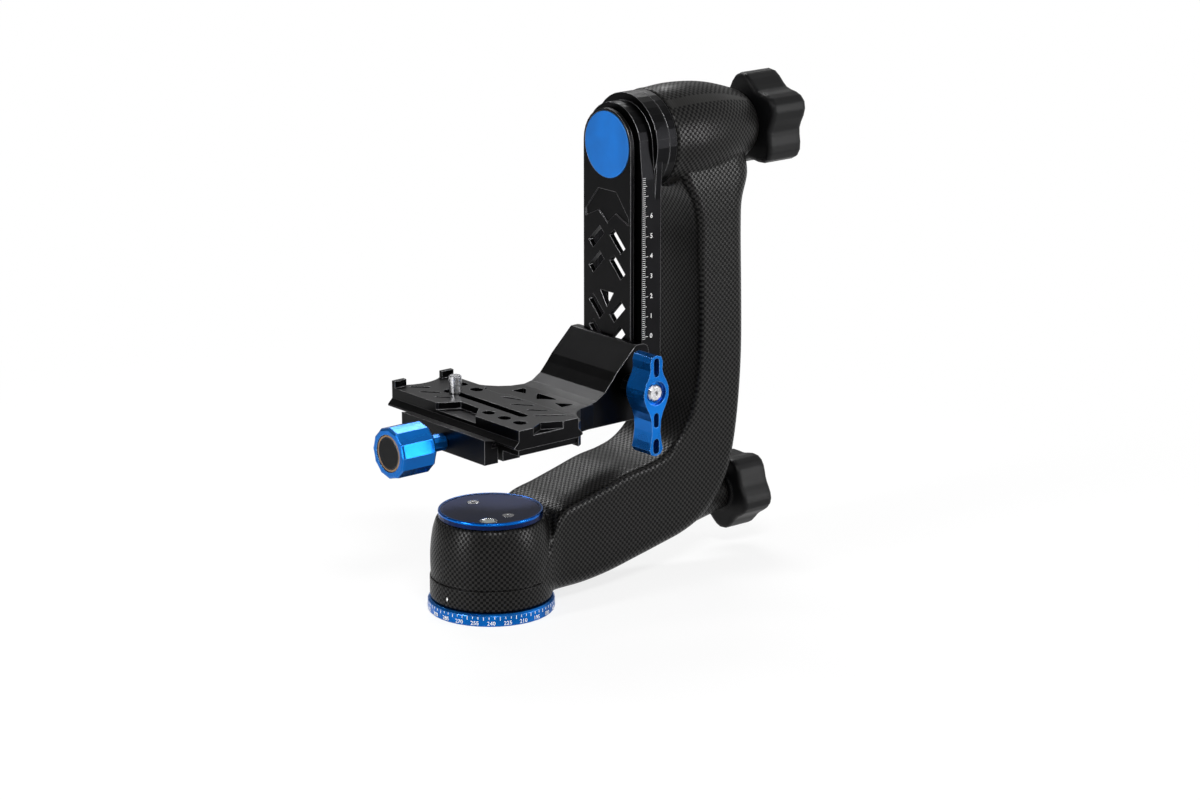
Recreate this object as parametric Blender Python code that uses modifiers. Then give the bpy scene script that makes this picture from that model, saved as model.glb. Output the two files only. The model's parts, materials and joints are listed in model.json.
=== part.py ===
"""Gimbal tripod head: a panning base, a C-shaped carbon arm and a swinging cradle with a plate clamp.

Metres, +Z up. The pan axis is Z, with the origin where it leaves the base. The tilt axis runs
along X at TILT_HEIGHT. The arm stands on the +X side and the lens points along Y.
"""
import math

import bmesh
import bpy
from mathutils import Matrix, Vector

# Shared fits
GAP = 0.0003
OVERRUN = 0.0020
MERGE = 0.000002

# How finely round pieces are faceted
FINE_STEPS = 36
ROUND_STEPS = 20
SMALL_STEPS = 10
HEAD_STEPS = 16

# Base: disc, degree ring and spindle on the pan axis
RING_RADIUS = 0.0310
RING_HEIGHT = 0.0061
RING_WALL = 0.0037
RING_CHAMFER = 0.0009
SOCKET_RADIUS = 0.00476
SOCKET_DEPTH = 0.0120
SPINDLE_RADIUS = 0.0090
SPINDLE_DROP = 0.0010
SHOULDER_RADIUS = 0.0118
SHOULDER_HEIGHT = 0.0016
PAN_NUT_RADIUS = 0.0114
PAN_NUT_HEIGHT = 0.0032

# Bearings, the same make in pan and tilt
BEARING_LENGTH = 0.0070
RACE_WALL = 0.0026
PAN_BEARING_RADIUS = 0.0160
TILT_BEARING_RADIUS = 0.0150

# Arm: the cup round the pan axis
COLLAR_CLEARANCE = 0.0004
COLLAR_RADIUS = 0.0299
COLLAR_TOP = 0.0178
CUP_RADIUS = 0.0296
CUP_RIM_RADIUS = 0.0266
CUP_TOP = 0.0466
SPINDLE_TOP = CUP_TOP - SPINDLE_DROP
CAVITY_RADIUS = 0.0225
# The cup's side from its rim down: shares of its swell outwards and of its height
CUP_SHARES = ((0.00, 0.00), (0.50, 0.17), (0.84, 0.40), (1.00, 0.66), (0.93, 1.00))
EDGE_ROUND = 0.0008

# Arm: the C-shaped beam and the barrel round the tilt axis, behind the swing arm
TILT_HEIGHT = 0.2200
RAIL_FACE_X = 0.0733
RAIL_DEPTH = 0.0159
DISC_PROUD = 0.0035
COLLAR_RING_LENGTH = 0.0045
COLLAR_RING_RADIUS = 0.0240
RAIL_BACK_X = RAIL_FACE_X + RAIL_DEPTH
DISC_BACK_X = RAIL_BACK_X + DISC_PROUD
BARREL_FRONT_X = DISC_BACK_X + COLLAR_CLEARANCE + COLLAR_RING_LENGTH + GAP
COLUMN_DEPTH = 0.0491
ARM_REAR_X = BARREL_FRONT_X + COLUMN_DEPTH
ARM_HALF_WIDTH = 0.0220
BARREL_RADIUS = 0.0252
BARREL_LENGTH = 0.0627
BARREL_REAR_X = BARREL_FRONT_X + BARREL_LENGTH
BARREL_REAR_RADIUS = 0.0126
# The barrel's side from its rear end forwards: shares of its fall inwards and of its length
BARREL_SHARES = ((1.00, 1.00), (0.86, 0.98), (0.64, 0.92), (0.48, 0.84), (0.33, 0.745), (0.20, 0.65),
                 (0.11, 0.56), (0.05, 0.47), (0.00, 0.33), (0.00, 0.21), (0.05, 0.08))
SLEEVE_BORE_RADIUS = 0.0203
SLEEVE_BORE_DEPTH = 0.0380
BEARING_SETBACK = 0.0040
SHAFT_SHORT = 0.0040
BRAKE_BORE_RADIUS = 0.0090
BRAKE_BORE_DEPTH = 0.0070
PAN_LOCK_Z = 0.0300
PAN_BOSS_RADIUS = 0.0090
PAN_BOSS_ROOT_RADIUS = 0.0140
PAN_BOSS_SETBACK = 0.0002
PAN_BOSS_END_X = ARM_REAR_X - PAN_BOSS_SETBACK
BOSS_LENGTH = 0.0300

# Stations along the beam, from the cup to the barrel. Each holds the inner edge (x, z), the outer
# edge (x, z), the half width and the corner radius, as shares: x of ARM_REAR_X, z of the height
# from the collar's underside to the tilt axis, and width and corner of ARM_HALF_WIDTH.
ARM_STATION_SHARES = (
    (0.013, 0.052, 0.013, 0.000, 1.295, 0.23),
    (0.081, 0.082, 0.081, 0.000, 1.227, 0.30),
    (0.136, 0.145, 0.136, 0.000, 1.105, 0.45),
    (0.190, 0.194, 0.195, 0.000, 1.030, 0.45),
    (0.292, 0.214, 0.300, 0.000, 1.000, 0.45),
    (0.387, 0.231, 0.412, 0.009, 1.000, 0.45),
    (0.481, 0.248, 0.525, 0.025, 1.000, 0.45),
    (0.570, 0.267, 0.633, 0.041, 1.000, 0.45),
    (0.637, 0.293, 0.746, 0.060, 1.000, 0.45),
    (0.695, 0.335, 0.841, 0.092, 1.000, 0.45),
    (0.736, 0.391, 0.907, 0.142, 1.000, 0.45),
    (0.763, 0.461, 0.950, 0.208, 1.000, 0.45),
    (0.777, 0.541, 0.980, 0.315, 1.000, 0.45),
    (0.782, 0.635, 0.998, 0.460, 1.000, 0.45),
    (0.783, 0.719, 1.000, 0.625, 1.000, 0.45),
    (0.781, 0.794, 0.998, 0.775, 1.000, 0.45),
    (0.763, 0.850, 1.004, 0.840, 1.000, 0.48),
    (0.729, 0.897, 1.036, 0.902, 0.977, 0.55),
    (0.705, 0.953, 1.034, 0.957, 0.886, 0.60),
)
STATION_STEPS = 2
CORNER_STEPS = 4

# Bearing sleeves, collar, cap and level on the arm
SLEEVE_WALL = 0.0059
RETAINER_HEIGHT = 0.0033
CAP_SETBACK = 0.0011
CAP_RADIUS = CUP_RIM_RADIUS - CAP_SETBACK
CAP_HEIGHT = 0.0034
CAP_RECESS = 0.0003
CAP_RIM = 0.0019
CAP_SPIGOT = 0.0008
CORNER_SHARE = 0.95
CAP_SCREW_OFFSET = 0.0138
SCREW_RADIUS = 0.0013
SCREW_HEAD_RADIUS = 0.0030
SCREW_HEAD_HEIGHT = 0.0017
HEX_RADIUS = 0.0012
HEX_DEPTH = 0.0010
LEVEL_X = -0.0128
LEVEL_Y = -0.0148
LEVEL_RADIUS = 0.0045
LEVEL_DEPTH = 0.0030
LEVEL_WALL = 0.0009

# Lock knobs on the arm and what they press
TILT_KNOB_LENGTH = 0.0217
PAN_KNOB_LENGTH = 0.0188
TILT_KNOB_RADIUS = 0.0246
PAN_KNOB_RADIUS = 0.0201
TILT_KNOB_TURN = 81.0
PAN_KNOB_TURN = 50.0
LOBE_COUNT = 5
TILT_LOBE_SHARE = 0.23
PAN_LOBE_SHARE = 0.16
LOBE_POINTS = 40
KNOB_EDGE = 0.0018
KNOB_HUB_RADIUS = 0.0100
KNOB_HUB_LENGTH = 0.0008
KNOB_GAP = 0.0008
LOCK_ROD_RADIUS = 0.0030
BUSH_RADIUS = 0.0055
BUSH_LENGTH = 0.0120
SHOE_RADIUS = 0.0046
SHOE_LENGTH = 0.0050
SLIDE_GAP = 0.0004
BRAKE_GAP = 0.0005
BRAKE_DISC_RADIUS = 0.0070
BRAKE_DISC_LENGTH = 0.0030

# Swing arm: a T-headed rail hanging from a round head on the tilt axis
FACE_THICKNESS = 0.0020
NECK_THICKNESS = 0.0020
WEB_THICKNESS = 0.0022
SEAT_FLOOR = 0.0020
FACE_HALF = 0.0178
NECK_HALF = 0.0155
RAIL_HALF = 0.0218
FLANGE_THICKNESS = 0.0040
HEAD_RADIUS = 0.0203
HEAD_BLEND = 0.0150
DISC_LENGTH = 0.0073
DISC_FRONT_X = DISC_BACK_X - DISC_LENGTH
DISC_RADIUS = 0.0241
DISC_FLARE = 0.0420
# Half widths over DISC_RADIUS, and drops below the tilt axis over DISC_FLARE
FLARE_SHARES = ((0.840, 1.20), (0.880, 0.95), (0.905, 0.60), (0.950, 0.25), (0.960, 0.00))
POCKET_TOP = 0.0300
SLOT_CENTRE_Y = 0.0080
SLOT_LENGTH = 0.0118
SLOT_WIDTH = 0.0048
SLOT_LEAN = 45.0
# Rows of windows down the rail: places as shares of the way from the tilt axis to the rail's end
SLOT_ROW_SHARES = (0.3615, 0.4600)
TURNED_ROW_SHARES = (0.6308, 0.7292, 0.8277)
TRIANGLE_TOP_SHARE = 0.5631
TRIANGLE_HALF = 0.0050
TRIANGLE_HEIGHT = 0.0078
RECESS_DEPTH = 0.0006
RECESS_HALF = 0.0162
RECESS_SETBACK = 0.0061
RECESS_HEIGHT = 0.0165
# Corners of the recess: half widths and drops, as shares of the two sizes above
RECESS_SHARES = ((0.42, 0.00), (1.00, 0.70), (1.00, 0.92), (0.40, 0.66), (0.00, 0.98))
BADGE_RADIUS = 0.0164
BADGE_THICKNESS = 0.0012
BADGE_PROUD = 0.0002
SHAFT_RADIUS = 0.0080
SHAFT_FLANGE_RADIUS = 0.0125
TILT_NUT_RADIUS = 0.0118
TILT_NUT_LENGTH = 0.0030

# Bracket: the sliding L-shaped platform
FLOOR_TOP = 0.1000
FLOOR_THICKNESS = 0.0122
CHEEK_HEIGHT = 0.0250
BRACKET_HALF = 0.0250
BRACKET_WRAP = 0.0057
BRACKET_REAR_X = RAIL_FACE_X + BRACKET_WRAP
BRACKET_TOP = FLOOR_TOP + CHEEK_HEIGHT
BRACKET_BOTTOM = FLOOR_TOP - FLOOR_THICKNESS
BRACKET_ROUND = 0.0040
RAIL_END_RISE = 0.0022
RAIL_BOTTOM = BRACKET_BOTTOM + RAIL_END_RISE
PLATE_HALF = 0.0180
FLOOR_FRONT_X = PLATE_HALF + GAP
SLOPE_SETBACK = 0.0023
SLOPE_RUN = 0.0310
SLOPE_TOP_X = RAIL_FACE_X - SLOPE_SETBACK
SLOPE_FOOT_X = SLOPE_TOP_X - SLOPE_RUN
# The slope's line from its foot to its top, as shares of its run and its rise
SLOPE_SHARES = ((0.00, 0.000), (0.19, 0.045), (0.36, 0.175), (0.50, 0.365), (0.60, 0.520), (1.00, 1.000))
WING_HALF = 0.0450
WING_RUN = 0.0258
# The wings' edge from the jaw end back to the straight sides, as shares of their run and spread
WING_SHARES = ((0.00, 1.00), (0.12, 0.90), (0.26, 0.52), (0.42, 0.27), (0.62, 0.10), (1.00, 0.00))
FLOOR_CUT_INSET = 0.0104
FLOOR_CUT_X = FLOOR_FRONT_X + FLOOR_CUT_INSET
FLOOR_CUT_LENGTH = 0.0075
FLOOR_CUT_Y = 0.0110
FLOOR_CUT_WIDTH = 0.0085
FLOOR_SLOT_HALF = 0.0070
# Corners of the floor's side windows and of its middle one, as shares of their lengths and widths
SIDE_CUT_SHARES = ((0.00, 1.00), (1.00, 1.00), (1.00, 0.75), (0.30, 0.00))
MIDDLE_CUT_SHARES = ((0.00, 0.00), (0.80, 1.00), (1.00, 1.00), (1.00, -1.00), (0.80, -1.00))
TONGUE_LENGTH = 0.0098
TONGUE_THICKNESS = 0.0022
TONGUE_END_X = FLOOR_FRONT_X + TONGUE_LENGTH
TONGUE_HALF = 0.0230
TONGUE_TOP = BRACKET_BOTTOM + TONGUE_THICKNESS

# Lever that clamps the bracket on the rail
LEVER_SETBACK = 0.0063
LEVER_RISE = 0.0055
LEVER_X = RAIL_FACE_X - LEVER_SETBACK
LEVER_Z = FLOOR_TOP + LEVER_RISE
LEVER_THICKNESS = 0.0134
LEVER_STANDOFF = 0.0066
LEVER_FRONT_Y = -(BRACKET_HALF + LEVER_STANDOFF + LEVER_THICKNESS)
LEVER_HUB_RADIUS = 0.0078
LEVER_UP = 0.0190
LEVER_DOWN = 0.0315
# The lever's edge, as half widths over its hub radius and heights over its upper or lower reach
LEVER_UP_SHARES = ((0.97, 0.12), (0.80, 0.30), (0.57, 0.46), (0.47, 0.60), (0.50, 0.82), (0.38, 0.95))
LEVER_DOWN_SHARES = ((0.97, 0.08), (0.80, 0.19), (0.54, 0.31), (0.37, 0.44), (0.33, 0.62), (0.42, 0.78),
                     (0.54, 0.90), (0.38, 0.97))
# Its windows: half width over the hub radius, then the two ends over the reach
LEVER_WINDOW_SHARES = ((0.22, 0.52, 0.84, 1), (0.20, 0.36, 0.50, -1), (0.24, 0.78, 0.91, -1))
LEVER_SHAFT_RADIUS = 0.0030
LEVER_BUSH_RADIUS = 0.0062
LEVER_SCREW_RADIUS = 0.0045
LEVER_SCREW_HEIGHT = 0.0022
LEVER_SOCKET_RADIUS = 0.0060
RAIL_SHOE_LENGTH = 0.0110
RAIL_SHOE_HEIGHT = 0.0160
RAIL_SHOE_WIDTH = 0.0034
RAIL_SHOE_EDGE = 0.0003

# Camera plate, carried along Y by the clamp
PLATE_Y_LOW = -0.0454
PLATE_Y_HIGH = 0.0544
PLATE_PROUD = 0.0025
PLATE_THICKNESS = 0.0096
FLANGE_RISE = 0.0017
PLATE_TOP = FLOOR_TOP + PLATE_PROUD
PLATE_BOTTOM = PLATE_TOP - PLATE_THICKNESS
FLANGE_HALF = 0.0206
FLANGE_LIP = 0.0008
FLANGE_Z = PLATE_BOTTOM + FLANGE_RISE
PLATE_LIP_HEIGHT = 0.0035
PLATE_LIP_LENGTH = 0.0024
PLATE_LIP_WIDTH = 0.0070
END_NOTCH_DEPTH = 0.0035
PLATE_SLOT_HALF = 0.0025
PLATE_SLOT_LOW_INSET = 0.0197
PLATE_SLOT_HIGH_INSET = 0.0233
PLATE_SLOT_LOW = PLATE_Y_LOW + PLATE_SLOT_LOW_INSET
PLATE_SLOT_HIGH = PLATE_Y_HIGH - PLATE_SLOT_HIGH_INSET
PLATE_ENTRY_RADIUS = 0.0037
UNDERCUT_HALF = 0.0052
UNDERCUT_DEPTH = 0.0051
PLATE_CUT_HALF = 0.0011
PLATE_OVAL_RADIUS = 0.0029
PLATE_OVAL_HALF = 0.0008
NOTCH_DROP = 0.0035
# Places on the plate: x as a share of PLATE_HALF, y as a share of its length from its low end
PLATE_CUT_SHARES = ((0.73, 0.518, 0.92, 0.415), (0.47, 0.385, 0.81, 0.310), (0.46, 0.260, 0.78, 0.193),
                    (0.26, 0.160, 0.86, 0.077), (-0.58, 0.950, -0.22, 0.885), (-0.64, 0.847, -0.34,
                                                                               0.779),
                    (-0.66, 0.726, -0.36, 0.669))
PLATE_OVAL_SHARES = ((-0.52, 0.343), (-0.51, 0.223), (-0.49, 0.110), (0.66, 0.834), (0.64, 0.706))
LONG_NOTCH_SHARES = ((-1.20, 0.708), (-0.96, 0.635), (-0.42, 0.583), (-0.45, 0.435), (-1.00, 0.333),
                     (-1.20, 0.333))
SHORT_NOTCH_SHARES = ((1.20, 0.711), (0.93, 0.711), (0.86, 0.690), (0.86, 0.570), (0.93, 0.548),
                      (1.20, 0.548))
EDGE_NOTCH_SHARES = ((-0.52, -0.05), (-0.52, 0.004), (-0.06, 0.050), (0.49, 0.004), (0.49, -0.05))

# Camera screw and the washer that keeps it in the plate's slot
CAMERA_SCREW_INSET = 0.0041
CAMERA_SCREW_Y = PLATE_SLOT_HIGH - CAMERA_SCREW_INSET
CAMERA_SCREW_RADIUS = 0.0031
CAMERA_NECK_RADIUS = 0.0020
CAMERA_HEAD_RADIUS = 0.0046
CAMERA_HEAD_HEIGHT = 0.0028
CAMERA_SCREW_PROUD = 0.0088
WASHER_THICKNESS = 0.0009

# Clamp under the plate: base, moving jaw and knob
CLAMP_BASE_HALF = 0.0440
CLAMP_INSET = 0.0008
CLAMP_LEFT_X = CLAMP_INSET - PLATE_HALF
CLAMP_STRIP_THICKNESS = 0.0029
CLAMP_STRIP_LOW = PLATE_BOTTOM - GAP - CLAMP_STRIP_THICKNESS
CLAMP_BLOCK_HALF = 0.0320
CLAMP_BLOCK_DEPTH = 0.0102
CLAMP_BLOCK_DROP = 0.0033
CLAMP_BLOCK_RIGHT_X = CLAMP_LEFT_X + CLAMP_BLOCK_DEPTH
CLAMP_BLOCK_LOW = BRACKET_BOTTOM - CLAMP_BLOCK_DROP
CLAMP_SCREW_INSET = 0.0054
CLAMP_SCREW_X = FLOOR_FRONT_X + CLAMP_SCREW_INSET
CLAMP_SCREW_Y = 0.0060
CLAMP_SCREW_LENGTH = 0.0075
JAW_CLEARANCE = 0.0035
JAW_LIP_REACH = 0.0018
JAW_WALL = 0.0044
JAW_OPEN = 0.0033
JAW_HEIGHT = 0.0039
JAW_INNER_X = -(FLANGE_HALF + JAW_CLEARANCE)
JAW_LIP_X = JAW_INNER_X + JAW_LIP_REACH
JAW_OUTER_X = JAW_INNER_X - JAW_WALL
JAW_FOOT_X = CLAMP_LEFT_X - JAW_OPEN
JAW_HALF = 0.0325
JAW_TOP = PLATE_BOTTOM + JAW_HEIGHT
JAW_SLOPE = 0.0012
JAW_BEVEL = 0.0014
GUIDE_RADIUS = 0.0015
GUIDE_Y = 0.0220
GUIDE_LENGTH = 0.0155
GUIDE_REACH = 0.0030
GUIDE_WALL = 0.0015
CLAMP_AXIS_RISE = 0.0014
CLAMP_AXIS_Z = BRACKET_BOTTOM + CLAMP_AXIS_RISE
CLAMP_ROD_RADIUS = 0.0021
CLAMP_ROD_SHORT = 0.0030
CLAMP_COLLAR_RADIUS = 0.0043
CLAMP_KNOB_RADIUS = 0.0126
CLAMP_COLLAR_LENGTH = 0.0119
CLAMP_KNOB_LENGTH = 0.0198
CLAMP_KNOB_FACE_X = JAW_OUTER_X - 2 * GAP - CLAMP_COLLAR_LENGTH - CLAMP_KNOB_LENGTH
CLAMP_KNOB_EDGE = 0.0012
CLAMP_FLUTES = 12
CLAMP_FLUTE_SHARE = 0.05
CLAMP_FLUTE_POINTS = 36
CLAMP_CUP_RADIUS = 0.0092
CLAMP_CUP_DEPTH = 0.0018
CLAMP_RING_WALL = 0.0009
CLAMP_ROD_CAP = 0.0040

# Colours, as red, green and blue
BLACK_METAL = (0.018, 0.018, 0.020)
CARBON = (0.016, 0.016, 0.017)
BLUE_METAL = (0.010, 0.160, 0.560)
NAVY_METAL = (0.012, 0.035, 0.150)
STEEL = (0.560, 0.560, 0.580)
RUBBER_BLACK = (0.012, 0.012, 0.013)
BRONZE = (0.300, 0.190, 0.110)
LEVEL_GREEN = (0.550, 0.700, 0.300)


def clear_scene():
    """Remove what the file opens with and make the two collections."""
    for item in list(bpy.data.objects):
        bpy.data.objects.remove(item, do_unlink=True)
    for name in ("gimbal_tripod_head", "cutters"):
        group = bpy.data.collections.new(name)
        bpy.context.scene.collection.children.link(group)


def material(name, colour, roughness, metallic):
    """A Principled material of its own for one sub-part."""
    made = bpy.data.materials.new(name)
    made.use_nodes = True
    shader = made.node_tree.nodes["Principled BSDF"]
    shader.inputs["Base Color"].default_value = (*colour, 1.0)
    shader.inputs["Roughness"].default_value = roughness
    shader.inputs["Metallic"].default_value = metallic
    return made


FINISHES = {
    "black_metal": (BLACK_METAL, 0.38, 0.85),
    "carbon": (CARBON, 0.42, 0.0),
    "blue_metal": (BLUE_METAL, 0.30, 0.9),
    "navy_metal": (NAVY_METAL, 0.28, 0.8),
    "steel": (STEEL, 0.28, 1.0),
    "rubber": (RUBBER_BLACK, 0.55, 0.0),
    "bronze": (BRONZE, 0.35, 0.9),
    "level": (LEVEL_GREEN, 0.10, 0.0),
}


def link(item, finish=None):
    """Put an object with the parts, or with the cutters when it has no finish."""
    if finish is None:
        bpy.data.collections["cutters"].objects.link(item)
        item.hide_render = True
        item.display_type = "WIRE"
        return item
    bpy.data.collections["gimbal_tripod_head"].objects.link(item)
    item.data.materials.append(material(item.name + "_finish", *FINISHES[finish]))
    return item


def mesh_object(name, form, finish=None):
    """Turn a bmesh into a linked object with outward faces."""
    bmesh.ops.recalc_face_normals(form, faces=form.faces)
    if form.calc_volume(signed=True) < 0:
        bmesh.ops.reverse_faces(form, faces=form.faces)
    data = bpy.data.meshes.new(name)
    form.to_mesh(data)
    form.free()
    return link(bpy.data.objects.new(name, data), finish)


def turned(name, profile, axis="Z", centre=(0, 0, 0), steps=ROUND_STEPS, finish=None):
    """Turn (radius, height) points round an axis. A closed loop of points makes a ring."""
    form = bmesh.new()
    points = [form.verts.new((radius, 0, height)) for radius, height in profile]
    pairs = list(zip(points, points[1:]))
    if profile[0][0] > 0:
        pairs.append((points[-1], points[0]))
    for first, second in pairs:
        form.edges.new((first, second))
    data = bpy.data.meshes.new(name)
    form.to_mesh(data)
    form.free()
    item = link(bpy.data.objects.new(name, data), finish)
    screw = item.modifiers.new("turn", "SCREW")
    screw.steps = steps
    screw.render_steps = steps
    screw.use_merge_vertices = True
    screw.merge_threshold = MERGE
    quarter = math.pi / 2
    item.rotation_euler = {"X": (0, quarter, 0), "Y": (-quarter, 0, 0), "Z": (0, 0, 0)}[axis]
    item.location = centre
    return item


def ring(name, outer, inner, low, high, axis="Z", centre=(0, 0, 0), steps=ROUND_STEPS, finish=None):
    """A plain ring between two heights along its axis, or a disc when inner is 0."""
    profile = [(outer, high), (outer, low), (inner, low), (inner, high)]
    if inner == 0:
        profile = [(0, high), (outer, high), (outer, low), (0, low)]
    return turned(name, profile, axis, centre, steps, finish)


def frame_of(axis):
    """The rotation that takes a flat outline's plane and its depth to the given axis."""
    columns = {
        "X": ((0, 0, 1), (1, 0, 0), (0, 1, 0)),
        "Y": ((1, 0, 0), (0, 0, -1), (0, 1, 0)),
        "Z": ((1, 0, 0), (0, 1, 0), (0, 0, 1)),
    }
    return Matrix(columns[axis]).to_4x4()


def extruded(name, loops, low, high, axis="Z", edge=0, finish=None):
    """Extrude flat loops along an axis between two places. Later loops are holes in the first.

    The outline's own directions are (y, z) for X, (x, z) for Y and (x, y) for Z.
    """
    curve = bpy.data.curves.new(name, "CURVE")
    curve.dimensions = "2D"
    curve.fill_mode = "BOTH"
    curve.extrude = (high - low) / 2 - edge
    curve.bevel_depth = edge
    curve.offset = -edge
    curve.bevel_resolution = 1
    for loop in loops:
        spline = curve.splines.new("POLY")
        spline.points.add(len(loop) - 1)
        spline.use_cyclic_u = True
        for point, (across, along) in zip(spline.points, loop):
            point.co = (across, along, 0, 1)
    drawn = bpy.data.objects.new(name + "_outline", curve)
    bpy.context.scene.collection.objects.link(drawn)
    view = bpy.context.evaluated_depsgraph_get()
    data = bpy.data.meshes.new_from_object(drawn.evaluated_get(view))
    bpy.data.objects.remove(drawn, do_unlink=True)
    form = bmesh.new()
    form.from_mesh(data)
    bmesh.ops.remove_doubles(form, verts=form.verts, dist=MERGE)
    middle = (high + low) / 2
    shift = {"X": (middle, 0, 0), "Y": (0, middle, 0), "Z": (0, 0, middle)}[axis]
    form.transform(Matrix.Translation(shift) @ frame_of(axis))
    return mesh_object(name, form, finish)


def block(name, low, high, finish=None, edge=0):
    """A box between two corners, with bevelled edges when edge is given."""
    form = bmesh.new()
    bmesh.ops.create_cube(form, size=1)
    size = Vector(high) - Vector(low)
    middle = (Vector(high) + Vector(low)) / 2
    form.transform(Matrix.Translation(middle) @ Matrix.Diagonal((*size, 1)))
    item = mesh_object(name, form, finish)
    if edge > 0:
        bevel = item.modifiers.new("edges", "BEVEL")
        bevel.width = edge
        bevel.segments = 1
    return item


def boolean(item, other, operation="DIFFERENCE"):
    """Cut or join another object, which stays with the cutters."""
    step = item.modifiers.new(operation.lower(), "BOOLEAN")
    step.operation = operation
    step.solver = "EXACT"
    step.object = other


def smooth(item, degrees=35.0):
    """Shade round faces smooth and keep real edges sharp."""
    item.data.shade_smooth()
    item.data.set_sharp_from_angle(angle=math.radians(degrees))


def arc(centre, radius, start, end, steps):
    """Points along an arc of a flat outline, in degrees."""
    turns = [math.radians(start + (end - start) * step / steps) for step in range(steps + 1)]
    return [(centre[0] + radius * math.cos(t), centre[1] + radius * math.sin(t)) for t in turns]


def slot_outline(first, second, half_width, steps=4):
    """A round-ended slot between two centres."""
    heading = math.degrees(math.atan2(second[1] - first[1], second[0] - first[0]))
    far = arc(second, half_width, heading - 90.0, heading + 90.0, steps)
    near = arc(first, half_width, heading + 90.0, heading + 270.0, steps)
    return far + near


def lobed_outline(radius, count, depth_share, points, phase=0.0):
    """A round outline with count lobes: the radius dips by depth_share between them."""
    outline = []
    for step in range(points):
        turn = 2 * math.pi * step / points
        dip = depth_share * (1 - math.cos(count * (turn - phase))) / 2
        outline.append((radius * (1 - dip) * math.cos(turn), radius * (1 - dip) * math.sin(turn)))
    return outline


def shifted(outline, across, along):
    """The same outline somewhere else in its plane."""
    return [(x + across, y + along) for x, y in outline]


# Base

def base_disc():
    """The black disc under the degree ring, bored for the spindle."""
    outer = RING_RADIUS - RING_WALL - GAP
    inner = SPINDLE_RADIUS + GAP
    ring("base_disc", outer, inner, 0, RING_HEIGHT - GAP, steps=FINE_STEPS, finish="black_metal")


def degree_ring():
    """The blue ring that carries the degree scale."""
    outer, inner = RING_RADIUS, RING_RADIUS - RING_WALL
    profile = [(inner, RING_HEIGHT), (outer - RING_CHAMFER, RING_HEIGHT),
               (outer, RING_HEIGHT - RING_CHAMFER),
               (outer, RING_CHAMFER / 2), (outer - RING_CHAMFER / 2, 0), (inner, 0)]
    smooth(turned("degree_ring", profile, steps=FINE_STEPS, finish="blue_metal"))


def pan_spindle():
    """The steel post that the arm turns on, with the tripod thread's socket in its foot."""
    shoulder = RING_HEIGHT + SHOULDER_HEIGHT
    profile = [(0, SPINDLE_TOP), (SPINDLE_RADIUS, SPINDLE_TOP), (SPINDLE_RADIUS, shoulder),
               (SHOULDER_RADIUS, shoulder), (SHOULDER_RADIUS, RING_HEIGHT), (SPINDLE_RADIUS, RING_HEIGHT),
               (SPINDLE_RADIUS, 0), (SOCKET_RADIUS, 0), (SOCKET_RADIUS, SOCKET_DEPTH), (0, SOCKET_DEPTH)]
    turned("pan_spindle", profile, finish="steel")


def race_pair(place, outer, shaft, low, axis, centre):
    """The inner and outer races of one ball bearing."""
    high = low + BEARING_LENGTH
    ring(place + "_inner_race", shaft + GAP + RACE_WALL, shaft + GAP, low, high, axis, centre,
         finish="steel")
    ring(place + "_outer_race", outer, outer - RACE_WALL, low, high, axis, centre, finish="steel")


def pan_bearing_places():
    """Where the lower and upper pan bearings start."""
    low = RING_HEIGHT + SHOULDER_HEIGHT + GAP
    high = SPINDLE_TOP - GAP - PAN_NUT_HEIGHT - BEARING_LENGTH
    return low, high


def pan_bearings():
    """Two ball bearings between spindle and sleeve."""
    for place, low in zip(("pan_lower", "pan_upper"), pan_bearing_places()):
        race_pair(place, PAN_BEARING_RADIUS, SPINDLE_RADIUS, low, "Z", (0, 0, 0))


def pan_nut():
    """The nut that holds the bearings on the spindle."""
    low = SPINDLE_TOP - PAN_NUT_HEIGHT
    ring("pan_nut", PAN_NUT_RADIUS, SPINDLE_RADIUS + GAP, low, SPINDLE_TOP, finish="steel")


# Arm

def collar_bottom():
    """The arm's lowest face, just above the degree ring."""
    return RING_HEIGHT + COLLAR_CLEARANCE


def cup_profile():
    """The cup's outer side from its rim down to the collar, as a solid turned form."""
    low = collar_bottom()
    swell = CUP_TOP - COLLAR_TOP
    bulge = CUP_RADIUS - CUP_RIM_RADIUS
    side = [(CUP_RIM_RADIUS + bulge * out_share, CUP_TOP - EDGE_ROUND - (swell - EDGE_ROUND) * down_share)
            for out_share, down_share in CUP_SHARES]
    return [(0, CUP_TOP), (CUP_RIM_RADIUS - EDGE_ROUND, CUP_TOP), *side,
            (COLLAR_RADIUS, COLLAR_TOP - EDGE_ROUND / 2),
            (COLLAR_RADIUS, low + EDGE_ROUND), (COLLAR_RADIUS - EDGE_ROUND, low), (0, low)]


def barrel_profile():
    """The barrel round the tilt axis, from its domed rear end forward."""
    span = BARREL_REAR_X - BARREL_FRONT_X
    fall = BARREL_RADIUS - BARREL_REAR_RADIUS
    side = [(BARREL_RADIUS - fall * in_share, BARREL_FRONT_X + span * along_share)
            for in_share, along_share in BARREL_SHARES]
    lip = side[-1][0]
    return [(0, BARREL_REAR_X), *side, (lip, BARREL_FRONT_X + EDGE_ROUND),
            (lip - EDGE_ROUND, BARREL_FRONT_X),
            (0, BARREL_FRONT_X)]


def catmull(before, start, end, after, share):
    """A point on the smooth curve through four neighbouring rows of numbers."""
    point = []
    for a, b, c, d in zip(before, start, end, after):
        rise = (c - a) * share + (2 * a - 5 * b + 4 * c - d) * share ** 2
        point.append(b + (rise + (3 * b - a - 3 * c + d) * share ** 3) / 2)
    return point


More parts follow.
